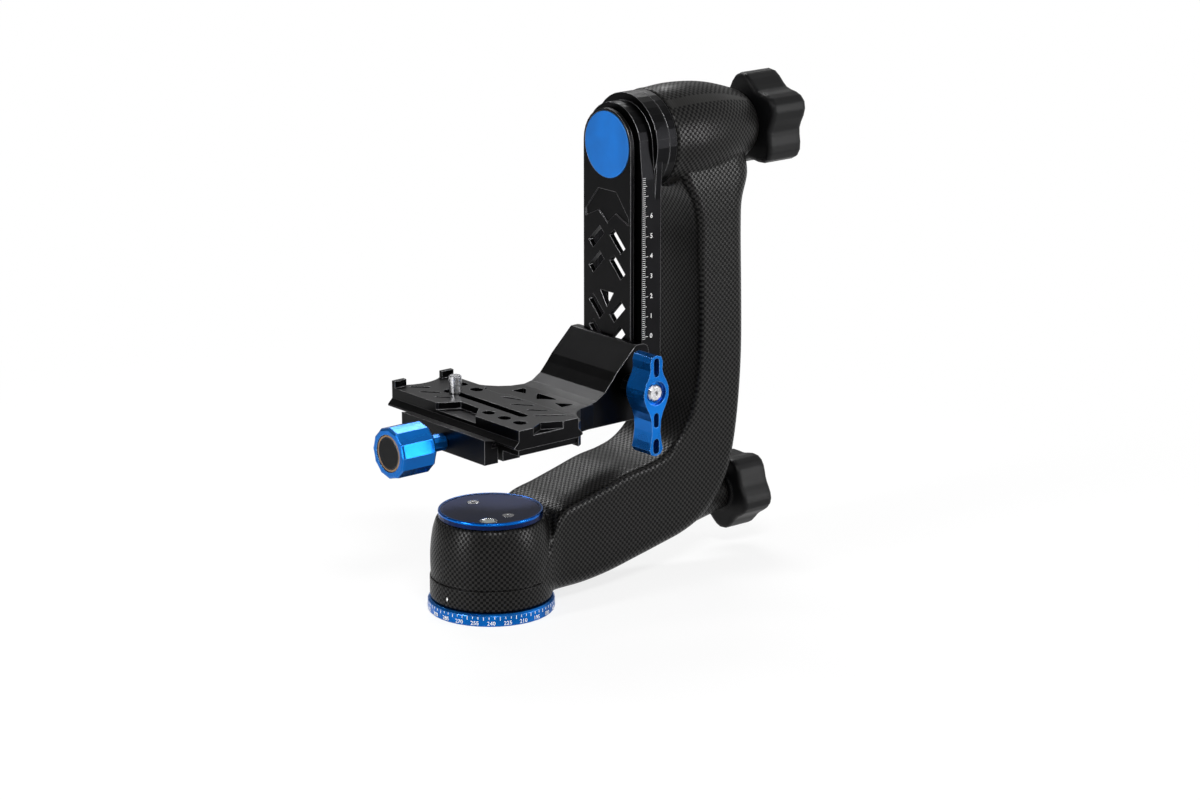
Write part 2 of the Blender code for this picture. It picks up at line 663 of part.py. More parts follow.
def arm_stations():
    """The beam's stations in metres, with smooth ones between the chosen ones."""
    low = collar_bottom()
    rise = TILT_HEIGHT - low
    rows = [(ix * ARM_REAR_X, low + iz * rise, ox * ARM_REAR_X, low + oz * rise, w * ARM_HALF_WIDTH,
             c * ARM_HALF_WIDTH) for ix, iz, ox, oz, w, c in ARM_STATION_SHARES]
    padded = [rows[0], *rows, rows[-1]]
    smoothed = []
    for index in range(len(rows) - 1):
        for step in range(STATION_STEPS):
            smoothed.append(catmull(*padded[index:index + 4], step / STATION_STEPS))
    return smoothed + [list(rows[-1])]


def station_ring(form, row):
    """One rounded-rectangle section of the beam, square to its run."""
    inner, outer = Vector((row[0], 0, row[1])), Vector((row[2], 0, row[3]))
    middle, half = (inner + outer) / 2, (inner - outer).length / 2
    up, side = (inner - outer).normalized(), Vector((0, 1, 0))
    width, corner = row[4], min(row[5], CORNER_SHARE * half)
    points = []
    for quarter, (sign_w, sign_h) in enumerate(((1, 1), (-1, 1), (-1, -1), (1, -1))):
        pivot = middle + side * sign_w * (width - corner) + up * sign_h * (half - corner)
        for step in range(CORNER_STEPS + 1):
            turn = math.pi / 2 * (quarter + step / CORNER_STEPS)
            points.append(form.verts.new(pivot + (side * math.cos(turn) + up * math.sin(turn)) * corner))
    return points


def arm_beam():
    """The C-shaped beam, lofted by hand because its sections change all the way along."""
    form = bmesh.new()
    rings = [station_ring(form, row) for row in arm_stations()]
    for near, far in zip(rings, rings[1:]):
        for index in range(len(near)):
            after = (index + 1) % len(near)
            form.faces.new((near[index], near[after], far[after], far[index]))
    form.faces.new(rings[0])
    form.faces.new(list(reversed(rings[-1])))
    return mesh_object("arm_shell", form, "carbon")


def arm_shell():
    """The carbon arm: beam, cup and barrel in one moulding, bored for both axes."""
    arm = arm_beam()
    tilt = (0, 0, TILT_HEIGHT)
    boolean(arm, turned("cup_form", cup_profile(), steps=FINE_STEPS), "UNION")
    boolean(arm, turned("barrel_form", barrel_profile(), "X", tilt, FINE_STEPS), "UNION")
    root = PAN_BOSS_END_X - BOSS_LENGTH
    boss = [(0, PAN_BOSS_END_X), (PAN_BOSS_RADIUS, PAN_BOSS_END_X), (PAN_BOSS_ROOT_RADIUS, root),
            (0, root)]
    boolean(arm, turned("pan_boss", boss, "X", (0, 0, PAN_LOCK_Z)), "UNION")
    sleeve_end = BARREL_FRONT_X + SLEEVE_BORE_DEPTH
    brake_end = sleeve_end + BRAKE_BORE_DEPTH
    rod = LOCK_ROD_RADIUS + GAP
    bush = BUSH_RADIUS + GAP
    bush_start = BARREL_REAR_X - BUSH_LENGTH - GAP
    bore = [(0, BARREL_REAR_X + OVERRUN), (bush, BARREL_REAR_X + OVERRUN), (bush, bush_start),
            (rod, bush_start),
            (rod, brake_end), (BRAKE_BORE_RADIUS, brake_end), (BRAKE_BORE_RADIUS, sleeve_end),
            (SLEEVE_BORE_RADIUS, sleeve_end), (SLEEVE_BORE_RADIUS, BARREL_FRONT_X - OVERRUN),
            (0, BARREL_FRONT_X - OVERRUN)]
    boolean(arm, turned("barrel_bore", bore, "X", tilt))
    pan_start = PAN_BOSS_END_X - BUSH_LENGTH - GAP
    channel = [(0, PAN_BOSS_END_X + OVERRUN), (bush, PAN_BOSS_END_X + OVERRUN), (bush, pan_start),
               (rod, pan_start),
               (rod, 0), (0, 0)]
    boolean(arm, turned("pan_lock_bore", channel, "X", (0, 0, PAN_LOCK_Z), SMALL_STEPS))
    boolean(arm, ring("cup_bore", CAVITY_RADIUS, 0, -OVERRUN, CUP_TOP + OVERRUN, steps=FINE_STEPS))
    smooth(arm)


def pan_sleeve():
    """The metal sleeve bonded in the cup, with a window for the brake shoe."""
    low, upper = pan_bearing_places()
    high = upper + BEARING_LENGTH
    outer = CAVITY_RADIUS - GAP
    inner = PAN_BEARING_RADIUS + GAP
    step = inner - RACE_WALL
    profile = [(outer, high), (outer, low), (inner, low), (inner, low + BEARING_LENGTH + GAP),
               (step, low + BEARING_LENGTH + GAP), (step, upper - GAP), (inner, upper - GAP),
               (inner, high)]
    sleeve = turned("pan_sleeve", profile, finish="black_metal")
    window = ring("shoe_window", SHOE_RADIUS + SLIDE_GAP, 0, 0, COLLAR_RADIUS, "X", (0, 0, PAN_LOCK_Z),
                  SMALL_STEPS)
    boolean(sleeve, window)


def bearing_retainer():
    """The ring over the upper pan bearing, which the cap's screws bite into."""
    low = sum((pan_bearing_places()[1], BEARING_LENGTH, GAP))
    inner = PAN_NUT_RADIUS + 2 * GAP
    retainer = ring("bearing_retainer", CAVITY_RADIUS - GAP, inner, low, low + RETAINER_HEIGHT,
                    finish="black_metal")
    for side in (1, -1):
        hole = ring("retainer_hole", SCREW_RADIUS + GAP, 0, low - OVERRUN,
                    low + RETAINER_HEIGHT + OVERRUN,
                    centre=(0, side * CAP_SCREW_OFFSET, 0), steps=SMALL_STEPS)
        boolean(retainer, hole)


def cap_top():
    """The height of the cap's rim."""
    return CUP_TOP + GAP + CAP_HEIGHT


def screw_profile(top, length, head_radius=SCREW_HEAD_RADIUS, head_height=SCREW_HEAD_HEIGHT,
                  radius=SCREW_RADIUS):
    """A countersunk screw with its socket, from the head down."""
    foot = top - length
    return [(0, top - HEX_DEPTH), (HEX_RADIUS, top - HEX_DEPTH), (HEX_RADIUS, top), (head_radius, top),
            (radius, top - head_height), (radius, foot), (0, foot)]


def top_cap():
    """The blue cap on the cup: a rim, a shallow recess, two countersinks and the level's pocket."""
    low, high = CUP_TOP + GAP, cap_top()
    floor = high - CAP_RECESS
    spigot = CAVITY_RADIUS - GAP
    profile = [(0, floor), (CAP_RADIUS - CAP_RIM, floor), (CAP_RADIUS - CAP_RIM + CAP_RECESS, high),
               (CAP_RADIUS - EDGE_ROUND, high), (CAP_RADIUS, high - EDGE_ROUND), (CAP_RADIUS,
                                                                                  low), (spigot, low),
               (spigot, low - CAP_SPIGOT), (0, low - CAP_SPIGOT)]
    cap = turned("top_cap", profile, steps=FINE_STEPS, finish="navy_metal")
    for side in (1, -1):
        sink = [(0, floor + OVERRUN), (SCREW_HEAD_RADIUS + GAP, floor + OVERRUN),
                (SCREW_HEAD_RADIUS + GAP, floor),
                (SCREW_RADIUS + GAP, floor - SCREW_HEAD_HEIGHT), (SCREW_RADIUS + GAP, low - OVERRUN),
                (0, low - OVERRUN)]
        boolean(cap, turned("cap_sink", sink, centre=(0, side * CAP_SCREW_OFFSET, 0), steps=SMALL_STEPS))
    pocket = ring("level_pocket", LEVEL_RADIUS + GAP, 0, floor - LEVEL_DEPTH - GAP, floor + OVERRUN,
                  centre=(LEVEL_X, LEVEL_Y, 0), steps=SMALL_STEPS)
    boolean(cap, pocket)
    smooth(cap)


def cap_screws():
    """Two countersunk socket screws."""
    length = cap_top() - CAP_RECESS - pan_bearing_places()[1] - BEARING_LENGTH - 2 * GAP
    for number, side in ((1, 1), (2, -1)):
        turned(f"cap_screw_{number}", screw_profile(cap_top() - CAP_RECESS, length),
               centre=(0, side * CAP_SCREW_OFFSET, 0), steps=SMALL_STEPS, finish="steel")


def bubble_level():
    """The round level: a metal cup and the vial in it."""
    top = cap_top() - CAP_RECESS
    low = top - LEVEL_DEPTH
    outer, inner = LEVEL_RADIUS, LEVEL_RADIUS - LEVEL_WALL
    floor = low + LEVEL_WALL
    cup = [(0, floor), (inner, floor), (inner, top), (outer, top), (outer, low), (0, low)]
    place = (LEVEL_X, LEVEL_Y, 0)
    turned("level_cup", cup, centre=place, steps=SMALL_STEPS, finish="steel")
    ring("level_vial", inner - GAP, 0, floor + GAP, top - GAP, centre=place, steps=SMALL_STEPS,
         finish="level")


def tilt_bearing_places():
    """Where the front and rear tilt bearings start, counted along X."""
    front = BARREL_FRONT_X + BEARING_SETBACK
    rear = BARREL_FRONT_X + SLEEVE_BORE_DEPTH - GAP - TILT_NUT_LENGTH - 2 * GAP - BEARING_LENGTH
    return front, rear


def tilt_sleeve():
    """The metal sleeve bonded in the barrel."""
    front, rear = tilt_bearing_places()
    inner = TILT_BEARING_RADIUS + GAP
    step = inner - RACE_WALL
    outer = SLEEVE_BORE_RADIUS - GAP
    start, end = BARREL_FRONT_X + GAP, BARREL_FRONT_X + SLEEVE_BORE_DEPTH - GAP
    profile = [(outer, end), (outer, start), (inner, start), (inner, front + BEARING_LENGTH + GAP),
               (step, front + BEARING_LENGTH + GAP), (step, rear - GAP), (inner, rear - GAP), (inner,
                                                                                               end)]
    turned("tilt_sleeve", profile, "X", (0, 0, TILT_HEIGHT), finish="black_metal")


def tilt_bearings():
    """Two ball bearings between the tilt shaft and its sleeve."""
    for place, low in zip(("tilt_front", "tilt_rear"), tilt_bearing_places()):
        race_pair(place, TILT_BEARING_RADIUS, SHAFT_RADIUS, low, "X", (0, 0, TILT_HEIGHT))


def tilt_collar():
    """The ring between the swing arm's disc and the barrel."""
    end = BARREL_FRONT_X - GAP
    start = end - COLLAR_RING_LENGTH
    ring("tilt_collar", COLLAR_RING_RADIUS, SHAFT_FLANGE_RADIUS + 2 * GAP, start, end, "X",
         (0, 0, TILT_HEIGHT),
         FINE_STEPS, "black_metal")


def lock_bushes():
    """The threaded bushes that the two lock rods turn in."""
    inner = LOCK_ROD_RADIUS + GAP
    for name, end, height in (("pan_knob_bush", PAN_BOSS_END_X, PAN_LOCK_Z),
                              ("tilt_knob_bush", BARREL_REAR_X, TILT_HEIGHT)):
        ring(name, BUSH_RADIUS, inner, end - BUSH_LENGTH, end, "X", (0, 0, height), SMALL_STEPS, "steel")


# Lock knobs

def lock_knob_sizes():
    """For each lock knob: name, radius, length, lobe depth, where the arm ends, height and turn."""
    return (("tilt", TILT_KNOB_RADIUS, TILT_KNOB_LENGTH, TILT_LOBE_SHARE, BARREL_REAR_X, TILT_HEIGHT,
             TILT_KNOB_TURN),
            ("pan", PAN_KNOB_RADIUS, PAN_KNOB_LENGTH, PAN_LOBE_SHARE, PAN_BOSS_END_X, PAN_LOCK_Z,
             PAN_KNOB_TURN))


def lock_knobs():
    """Two lobed knobs with rounded rims, a hub towards the arm and a bore for the rod."""
    for place, radius, length, depth_share, arm_end, height, turn in lock_knob_sizes():
        outline = lobed_outline(radius, LOBE_COUNT, depth_share, LOBE_POINTS, math.radians(turn))
        start = arm_end + KNOB_GAP
        front = start + KNOB_HUB_LENGTH
        end = front + length
        name = place + "_knob"
        knob = extruded(name, [shifted(outline, 0, height)], front, end, "X", KNOB_EDGE, "rubber")
        hub = ring(name + "_hub", KNOB_HUB_RADIUS, 0, start, front + KNOB_EDGE, "X", (0, 0, height))
        boolean(knob, hub, "UNION")
        bore = ring(name + "_bore", LOCK_ROD_RADIUS + GAP, 0, start - OVERRUN, end - KNOB_EDGE, "X",
                    (0, 0, height),
                    SMALL_STEPS)
        boolean(knob, bore)
        smooth(knob)


def lock_rods():
    """The threaded rods, from inside each knob to its brake."""
    brakes = {"tilt": shaft_end() + BRAKE_GAP + BRAKE_DISC_LENGTH,
              "pan": SPINDLE_RADIUS + BRAKE_GAP + SHOE_LENGTH}
    for place, _, length, _, arm_end, height, _ in lock_knob_sizes():
        high = arm_end + KNOB_GAP + KNOB_HUB_LENGTH + length - KNOB_EDGE
        ring(place + "_lock_rod", LOCK_ROD_RADIUS, 0, brakes[place] + GAP, high - GAP, "X",
             (0, 0, height),
             SMALL_STEPS, "steel")


def pan_brake_shoe():
    """The pad that the pan rod presses on the spindle, hollowed to the spindle's round."""
    start = SPINDLE_RADIUS + BRAKE_GAP
    shoe = ring("pan_brake_shoe", SHOE_RADIUS, 0, SPINDLE_RADIUS / 2, start + SHOE_LENGTH, "X",
                (0, 0, PAN_LOCK_Z),
                SMALL_STEPS, "bronze")
    boolean(shoe, ring("shoe_hollow", start, 0, 0, CUP_TOP))


def shaft_end():
    """Where the tilt shaft ends inside the barrel."""
    return BARREL_FRONT_X + SLEEVE_BORE_DEPTH + BRAKE_BORE_DEPTH - BRAKE_DISC_LENGTH - SHAFT_SHORT


def tilt_brake_disc():
    """The friction disc that the tilt rod presses on the shaft's end."""
    start = shaft_end() + BRAKE_GAP
    ring("tilt_brake_disc", BRAKE_DISC_RADIUS, 0, start, start + BRAKE_DISC_LENGTH, "X",
         (0, 0, TILT_HEIGHT),
         SMALL_STEPS, "bronze")


# Swing arm

def head_outline(half, bottom, radius, blend):
    """A rail's outline seen along X: straight sides up to a round head on the tilt axis."""
    head = arc((0, TILT_HEIGHT), radius, 0.0, 180.0, HEAD_STEPS)
    if blend > 0:
        head = [(half, TILT_HEIGHT - blend), *head, (-half, TILT_HEIGHT - blend)]
    return [(-half, bottom), (half, bottom), *head]


def slot_cut(centre, tilt):
    """One slanted rectangular window of the rail."""
    a, b = SLOT_LENGTH / 2, SLOT_WIDTH / 2
    corners = [(a, -b), (a, b), (-a, b), (-a, -b)]
    turn = math.radians(tilt)
    return [(centre[0] + x * math.cos(turn) - z * math.sin(turn),
             centre[1] + x * math.sin(turn) + z * math.cos(turn))
            for x, z in corners]


def rail_windows():
    """All the windows through the rail's face: slanted pairs and a triangle between them."""
    loops = []
    reach = TILT_HEIGHT - RAIL_BOTTOM
    rows = [(TILT_HEIGHT - reach * share, 1) for share in SLOT_ROW_SHARES]
    rows += [(TILT_HEIGHT - reach * share, -1) for share in TURNED_ROW_SHARES]
    for height, lean in rows:
        for side in (1, -1):
            loops.append(slot_cut((side * SLOT_CENTRE_Y, height), -side * lean * SLOT_LEAN))
    top = TILT_HEIGHT - reach * TRIANGLE_TOP_SHARE
    loops.append([(-TRIANGLE_HALF, top), (0, top - TRIANGLE_HEIGHT), (TRIANGLE_HALF, top)])
    return loops


def face_recess():
    """The shallow recess under the badge, with a W-shaped lower edge."""
    top = TILT_HEIGHT - BADGE_RADIUS - RECESS_SETBACK
    right = [(RECESS_HALF * half, top - RECESS_HEIGHT * drop) for half, drop in RECESS_SHARES]
    left = [(-across, height) for across, height in reversed(right[:-1])]
    return extruded("face_recess", [right + left], RAIL_FACE_X - OVERRUN, RAIL_FACE_X + RECESS_DEPTH, "X")


def swing_arm():
    """The rail and its round head in one piece: face, neck, open-backed body and disc."""
    neck_x = RAIL_FACE_X + FACE_THICKNESS
    body_x = neck_x + NECK_THICKNESS
    web_x = body_x + WEB_THICKNESS
    body = head_outline(RAIL_HALF, RAIL_BOTTOM, HEAD_RADIUS, HEAD_BLEND)
    arm = extruded("swing_arm", [body], RAIL_FACE_X, RAIL_BACK_X, "X", finish="black_metal")
    right = [(DISC_RADIUS * half, TILT_HEIGHT - DISC_FLARE * drop) for half, drop in FLARE_SHARES]
    flare = right + [(-across, height) for across, height in reversed(right)]
    boolean(arm, extruded("rail_flare", [flare], DISC_FRONT_X, RAIL_BACK_X - GAP, "X"), "UNION")
    disc = ring("head_disc", DISC_RADIUS, 0, DISC_FRONT_X - GAP, DISC_BACK_X, "X", (0, 0, TILT_HEIGHT),
                FINE_STEPS)
    boolean(arm, disc, "UNION")
    low = RAIL_BOTTOM - OVERRUN
    around = head_outline(RAIL_HALF + OVERRUN, low, HEAD_RADIUS + OVERRUN, HEAD_BLEND)
    for name, half, start, end in (("round_neck", NECK_HALF, neck_x, body_x),
                                   ("round_face", FACE_HALF, RAIL_FACE_X - OVERRUN, neck_x + GAP)):
        kept = head_outline(half, low, half, 0)
        loop = around[1:] + around[:1] + kept[:1] + kept[:0:-1]
        boolean(arm, extruded(name, [loop], start, end, "X"))
    pocket_half = RAIL_HALF - FLANGE_THICKNESS
    boolean(arm, block("rail_pocket", (web_x, -pocket_half, RAIL_BOTTOM - OVERRUN),
                       (RAIL_BACK_X + OVERRUN, pocket_half, TILT_HEIGHT - POCKET_TOP)))
    for number, loop in enumerate(rail_windows()):
        boolean(arm, extruded(f"rail_window_{number}", [loop], RAIL_FACE_X - OVERRUN, web_x + OVERRUN,
                              "X"))
    boolean(arm, face_recess())
    badge_floor = RAIL_FACE_X - BADGE_PROUD + BADGE_THICKNESS + GAP
    boolean(arm, ring("badge_pocket", BADGE_RADIUS + GAP, 0, RAIL_FACE_X - OVERRUN, badge_floor, "X",
                      (0, 0, TILT_HEIGHT), FINE_STEPS))
    shaft_seat = ring("shaft_seat", SHAFT_RADIUS + GAP, 0, web_x + SEAT_FLOOR, DISC_BACK_X + OVERRUN, "X",
                      (0, 0, TILT_HEIGHT))
    boolean(arm, shaft_seat)
    smooth(arm)


def badge():
    """The blue disc let into the rail's head, left plain."""
    low = RAIL_FACE_X - BADGE_PROUD
    ring("badge", BADGE_RADIUS, 0, low, low + BADGE_THICKNESS, "X", (0, 0, TILT_HEIGHT), FINE_STEPS,
         "blue_metal")


def tilt_shaft():
    """The shaft that carries the swing arm in the barrel, with a flange behind the disc."""
    low = RAIL_FACE_X + FACE_THICKNESS + NECK_THICKNESS + WEB_THICKNESS + SEAT_FLOOR + GAP
    flange = DISC_BACK_X + GAP
    front = tilt_bearing_places()[0] - GAP
    profile = [(0, shaft_end()), (SHAFT_RADIUS, shaft_end()), (SHAFT_RADIUS, front),
               (SHAFT_FLANGE_RADIUS, front),
               (SHAFT_FLANGE_RADIUS, flange), (SHAFT_RADIUS, flange), (SHAFT_RADIUS, low), (0, low)]
    turned("tilt_shaft", profile, "X", (0, 0, TILT_HEIGHT), finish="steel")


def tilt_nut():
    """The nut behind the rear tilt bearing."""
    low = tilt_bearing_places()[1] + BEARING_LENGTH + GAP
    ring("tilt_nut", TILT_NUT_RADIUS, SHAFT_RADIUS + GAP, low, low + TILT_NUT_LENGTH, "X",
         (0, 0, TILT_HEIGHT),
         finish="steel")


# Bracket

def bracket_side():
    """The bracket seen along Y: floor, curved slope, web and rounded cheek, as (x, z)."""
    slope = [(SLOPE_FOOT_X + SLOPE_RUN * along, FLOOR_TOP + CHEEK_HEIGHT * up) for along,
             up in SLOPE_SHARES]
    corner = arc((BRACKET_REAR_X - BRACKET_ROUND, BRACKET_TOP - BRACKET_ROUND), BRACKET_ROUND, 90.0,
                 0.0, 4)
    return [(BRACKET_REAR_X, BRACKET_BOTTOM), (FLOOR_FRONT_X, BRACKET_BOTTOM),
            (FLOOR_FRONT_X, FLOOR_TOP), *slope,
            *corner]


def wing_outline():
    """The floor seen from above: wings that sweep out to the jaw end."""
    spread = WING_HALF - BRACKET_HALF
    edge = [(FLOOR_FRONT_X + WING_RUN * along, BRACKET_HALF + spread * out) for along, out in WING_SHARES]
    return edge + [(x, -y) for x, y in reversed(edge)]


def flange_channel():
    """The undercut in the bracket that holds the plate's fixed side, as (x, z)."""
    deep = FLANGE_HALF + SLIDE_GAP
    return [(FLOOR_FRONT_X - OVERRUN, PLATE_BOTTOM - GAP), (PLATE_HALF + FLANGE_LIP, PLATE_BOTTOM - GAP),
            (deep, FLANGE_Z - FLANGE_LIP), (deep, FLANGE_Z + GAP),
            (FLOOR_FRONT_X, FLANGE_Z + GAP + deep - FLOOR_FRONT_X), (FLOOR_FRONT_X - OVERRUN, FLOOR_TOP)]


def floor_cuts():
    """The three windows through the bracket's floor, as (x, y)."""
    side = [(FLOOR_CUT_X + FLOOR_CUT_LENGTH * along, FLOOR_CUT_Y + FLOOR_CUT_WIDTH * across)
            for along, across in SIDE_CUT_SHARES]
    middle = [(FLOOR_CUT_X + FLOOR_CUT_LENGTH * along, FLOOR_SLOT_HALF * across) for along,
              across in MIDDLE_CUT_SHARES]
    return [side, [(x, -y) for x, y in side], middle]


def rail_channel(bracket):
    """Cut the bracket's way for the rail: web, grooves behind the face and room for the body."""
    face = RAIL_FACE_X - SLIDE_GAP
    lip = RAIL_FACE_X + FACE_THICKNESS + SLIDE_GAP
    body = RAIL_FACE_X + FACE_THICKNESS + NECK_THICKNESS - SLIDE_GAP
    low, high, back = BRACKET_BOTTOM - OVERRUN, BRACKET_TOP + OVERRUN, BRACKET_REAR_X + OVERRUN
    for name, start, end, half in (("rail_way", face, lip, FACE_HALF),
                                   ("neck_way", face, back, NECK_HALF),
                                   ("body_way", body, back, RAIL_HALF)):
        boolean(bracket, block(name, (start, -half - SLIDE_GAP, low), (end, half + SLIDE_GAP, high)))


def bracket_part():
    """The sliding bracket in one piece, with its jaw undercut, windows and lever way."""
    bracket = extruded("bracket", [bracket_side()], -BRACKET_HALF, BRACKET_HALF, "Y",
                       finish="black_metal")
    wings = extruded("bracket_wings", [wing_outline()], BRACKET_BOTTOM + GAP, FLOOR_TOP, "Z")
    boolean(bracket, wings, "UNION")
    rail_channel(bracket)
    boolean(bracket, extruded("flange_way", [flange_channel()], -WING_HALF - OVERRUN,
                              WING_HALF + OVERRUN, "Y"))
    for number, loop in enumerate(floor_cuts()):
        boolean(bracket, extruded(f"floor_window_{number}", [loop], BRACKET_BOTTOM - OVERRUN,
                                  FLOOR_TOP + OVERRUN))
    rebate = block("tongue_rebate", (FLOOR_FRONT_X - OVERRUN, -TONGUE_HALF - GAP,
                                     BRACKET_BOTTOM - OVERRUN),
                   (TONGUE_END_X + GAP, TONGUE_HALF + GAP, TONGUE_TOP + GAP))
    boolean(bracket, rebate)
    for side in (1, -1):
        hole = ring("clamp_thread", SCREW_RADIUS + GAP, 0, TONGUE_TOP - OVERRUN,
                    BRACKET_BOTTOM + CLAMP_SCREW_LENGTH + GAP, centre=(CLAMP_SCREW_X,
                                                                       side * CLAMP_SCREW_Y, 0),
                    steps=SMALL_STEPS)
        boolean(bracket, hole)
    low = shoe_box()[0]
    high = shoe_box()[1]
    pocket = block("shoe_pocket", (low[0] - GAP, -RAIL_HALF - GAP, low[2] - GAP),
                   (high[0] + GAP, high[1] + 2 * GAP, high[2] + GAP))
    boolean(bracket, pocket)
    way = ring("lever_way", LEVER_SHAFT_RADIUS + GAP, 0, -BRACKET_HALF - OVERRUN,
               high[1] - RAIL_SHOE_WIDTH, "Y",
               (LEVER_X, 0, LEVER_Z), SMALL_STEPS)
    boolean(bracket, way)


def shoe_box():
    """The two corners of the shoe that grips the rail's edge."""
    front = RAIL_FACE_X + FACE_THICKNESS - GAP
    inner = -FACE_HALF - SLIDE_GAP
    half = RAIL_SHOE_HEIGHT / 2
    return ((front - RAIL_SHOE_LENGTH, inner - RAIL_SHOE_WIDTH, LEVER_Z - half),
            (front, inner, LEVER_Z + half))


def rail_shoe():
    """The shoe that the lever presses on the rail's edge."""
    low, high = shoe_box()
    block("rail_clamp_shoe", low, high, "bronze", RAIL_SHOE_EDGE)


def lever_outline():
    """The lever seen along Y, round its own axis: hub, short upper arm and long lower arm."""
    up = [(LEVER_HUB_RADIUS * half, LEVER_UP * along) for half, along in LEVER_UP_SHARES]
    down = [(LEVER_HUB_RADIUS * half, -LEVER_DOWN * along) for half, along in LEVER_DOWN_SHARES]
    right = list(reversed(down)) + [(LEVER_HUB_RADIUS, 0)] + up
    top, bottom = (0, LEVER_UP), (0, -LEVER_DOWN)
    left = [(-across, along) for across, along in reversed(right)]
    return shifted([bottom, *right, top, *left], LEVER_X, LEVER_Z)


def lever():
    """The blue lever with its hub, its three windows and the socket of its screw."""
    high = LEVER_FRONT_Y + LEVER_THICKNESS
    loops = [lever_outline()]
    for half, near, far, way in LEVER_WINDOW_SHARES:
        reach = LEVER_UP if way > 0 else -LEVER_DOWN
        window = slot_outline((LEVER_X, LEVER_Z + reach * near), (LEVER_X, LEVER_Z + reach * far),
                              LEVER_HUB_RADIUS * half)
        loops.append(window)
    item = extruded("lever", loops, LEVER_FRONT_Y, high, "Y", finish="blue_metal")
    centre = (LEVER_X, 0, LEVER_Z)
    socket = ring("lever_socket", LEVER_SOCKET_RADIUS, 0, LEVER_FRONT_Y - OVERRUN,
                  LEVER_FRONT_Y + LEVER_SCREW_HEIGHT, "Y", centre)
    boolean(item, socket)
    boolean(item, ring("lever_bore", LEVER_SHAFT_RADIUS + GAP, 0, LEVER_FRONT_Y, high + OVERRUN, "Y",
                       centre,
                       SMALL_STEPS))
    smooth(item)


def lever_fittings():
    """The lever's screw, its shaft and the bush on the bracket's side."""
    centre = (LEVER_X, 0, LEVER_Z)
    low = LEVER_FRONT_Y + GAP
    high = LEVER_FRONT_Y + LEVER_SCREW_HEIGHT - GAP
    head = LEVER_SCREW_RADIUS
    profile = [(0, high), (head, high), (head, low + HEX_DEPTH), (head - HEX_DEPTH, low),
               (HEX_RADIUS, low),
               (HEX_RADIUS, low + HEX_DEPTH), (0, low + HEX_DEPTH)]
    turned("lever_screw", profile, "Y", centre, SMALL_STEPS, "steel")
    inner = shoe_box()[0][1] - GAP
    ring("lever_shaft", LEVER_SHAFT_RADIUS, 0, high + GAP, inner, "Y", centre, SMALL_STEPS, "steel")
    ring("lever_bush", LEVER_BUSH_RADIUS, LEVER_SHAFT_RADIUS + GAP, LEVER_FRONT_Y + LEVER_THICKNESS + GAP,
         -BRACKET_HALF - GAP, "Y", centre, SMALL_STEPS, "black_metal")


# Clamp

def clamp_base():
    """The clamp's base: a strip under the plate, a block for the rod and a tongue to the bracket."""
    top = PLATE_BOTTOM - GAP
    right = FLOOR_FRONT_X - GAP
    base = block("clamp_base", (CLAMP_LEFT_X, -CLAMP_BASE_HALF, CLAMP_STRIP_LOW),
                 (right, CLAMP_BASE_HALF, top),
                 "black_metal")
    beam = block("clamp_beam", (CLAMP_LEFT_X + GAP, -TONGUE_HALF, BRACKET_BOTTOM),
                 (TONGUE_END_X, TONGUE_HALF, TONGUE_TOP))
    boolean(base, beam, "UNION")
    boolean(base, block("clamp_block", (CLAMP_LEFT_X, -CLAMP_BLOCK_HALF, CLAMP_BLOCK_LOW),
                        (CLAMP_BLOCK_RIGHT_X, CLAMP_BLOCK_HALF, TONGUE_TOP)), "UNION")
    boolean(base, ring("rod_thread", CLAMP_ROD_RADIUS + GAP, 0, CLAMP_LEFT_X - OVERRUN,
                       CLAMP_BLOCK_RIGHT_X + OVERRUN, "X", (0, 0, CLAMP_AXIS_Z), SMALL_STEPS))
    for side in (1, -1):
        pin = ring("guide_seat", GUIDE_RADIUS + GAP, 0, CLAMP_LEFT_X - OVERRUN,
                   CLAMP_BLOCK_RIGHT_X - GUIDE_WALL,
                   "X", (0, side * GUIDE_Y, CLAMP_AXIS_Z), SMALL_STEPS)
        boolean(base, pin)
        low = BRACKET_BOTTOM
        sink = [(0, TONGUE_TOP + OVERRUN), (SCREW_RADIUS + GAP, TONGUE_TOP + OVERRUN),
                (SCREW_RADIUS + GAP, low + SCREW_HEAD_HEIGHT), (SCREW_HEAD_RADIUS + GAP, low),
                (SCREW_HEAD_RADIUS + GAP, low - OVERRUN), (0, low - OVERRUN)]
        boolean(base, turned("clamp_sink", sink, centre=(CLAMP_SCREW_X, side * CLAMP_SCREW_Y, 0),
                             steps=SMALL_STEPS))


def clamp_fittings():
    """The two screws that hold the base to the bracket, and the two pins that guide the jaw."""
    low, high = BRACKET_BOTTOM, BRACKET_BOTTOM + CLAMP_SCREW_LENGTH
    profile = [(0, high), (SCREW_RADIUS, high), (SCREW_RADIUS, low + SCREW_HEAD_HEIGHT),
               (SCREW_HEAD_RADIUS, low),
               (HEX_RADIUS, low), (HEX_RADIUS, low + HEX_DEPTH), (0, low + HEX_DEPTH)]
    end = CLAMP_BLOCK_RIGHT_X - GUIDE_WALL - GAP
    for number, side in ((1, 1), (2, -1)):
        turned(f"clamp_base_screw_{number}", profile, centre=(CLAMP_SCREW_X, side * CLAMP_SCREW_Y, 0),
               steps=SMALL_STEPS, finish="steel")
        ring(f"jaw_guide_pin_{number}", GUIDE_RADIUS, 0, end - GUIDE_LENGTH, end, "X",
             (0, side * GUIDE_Y, CLAMP_AXIS_Z), SMALL_STEPS, "steel")


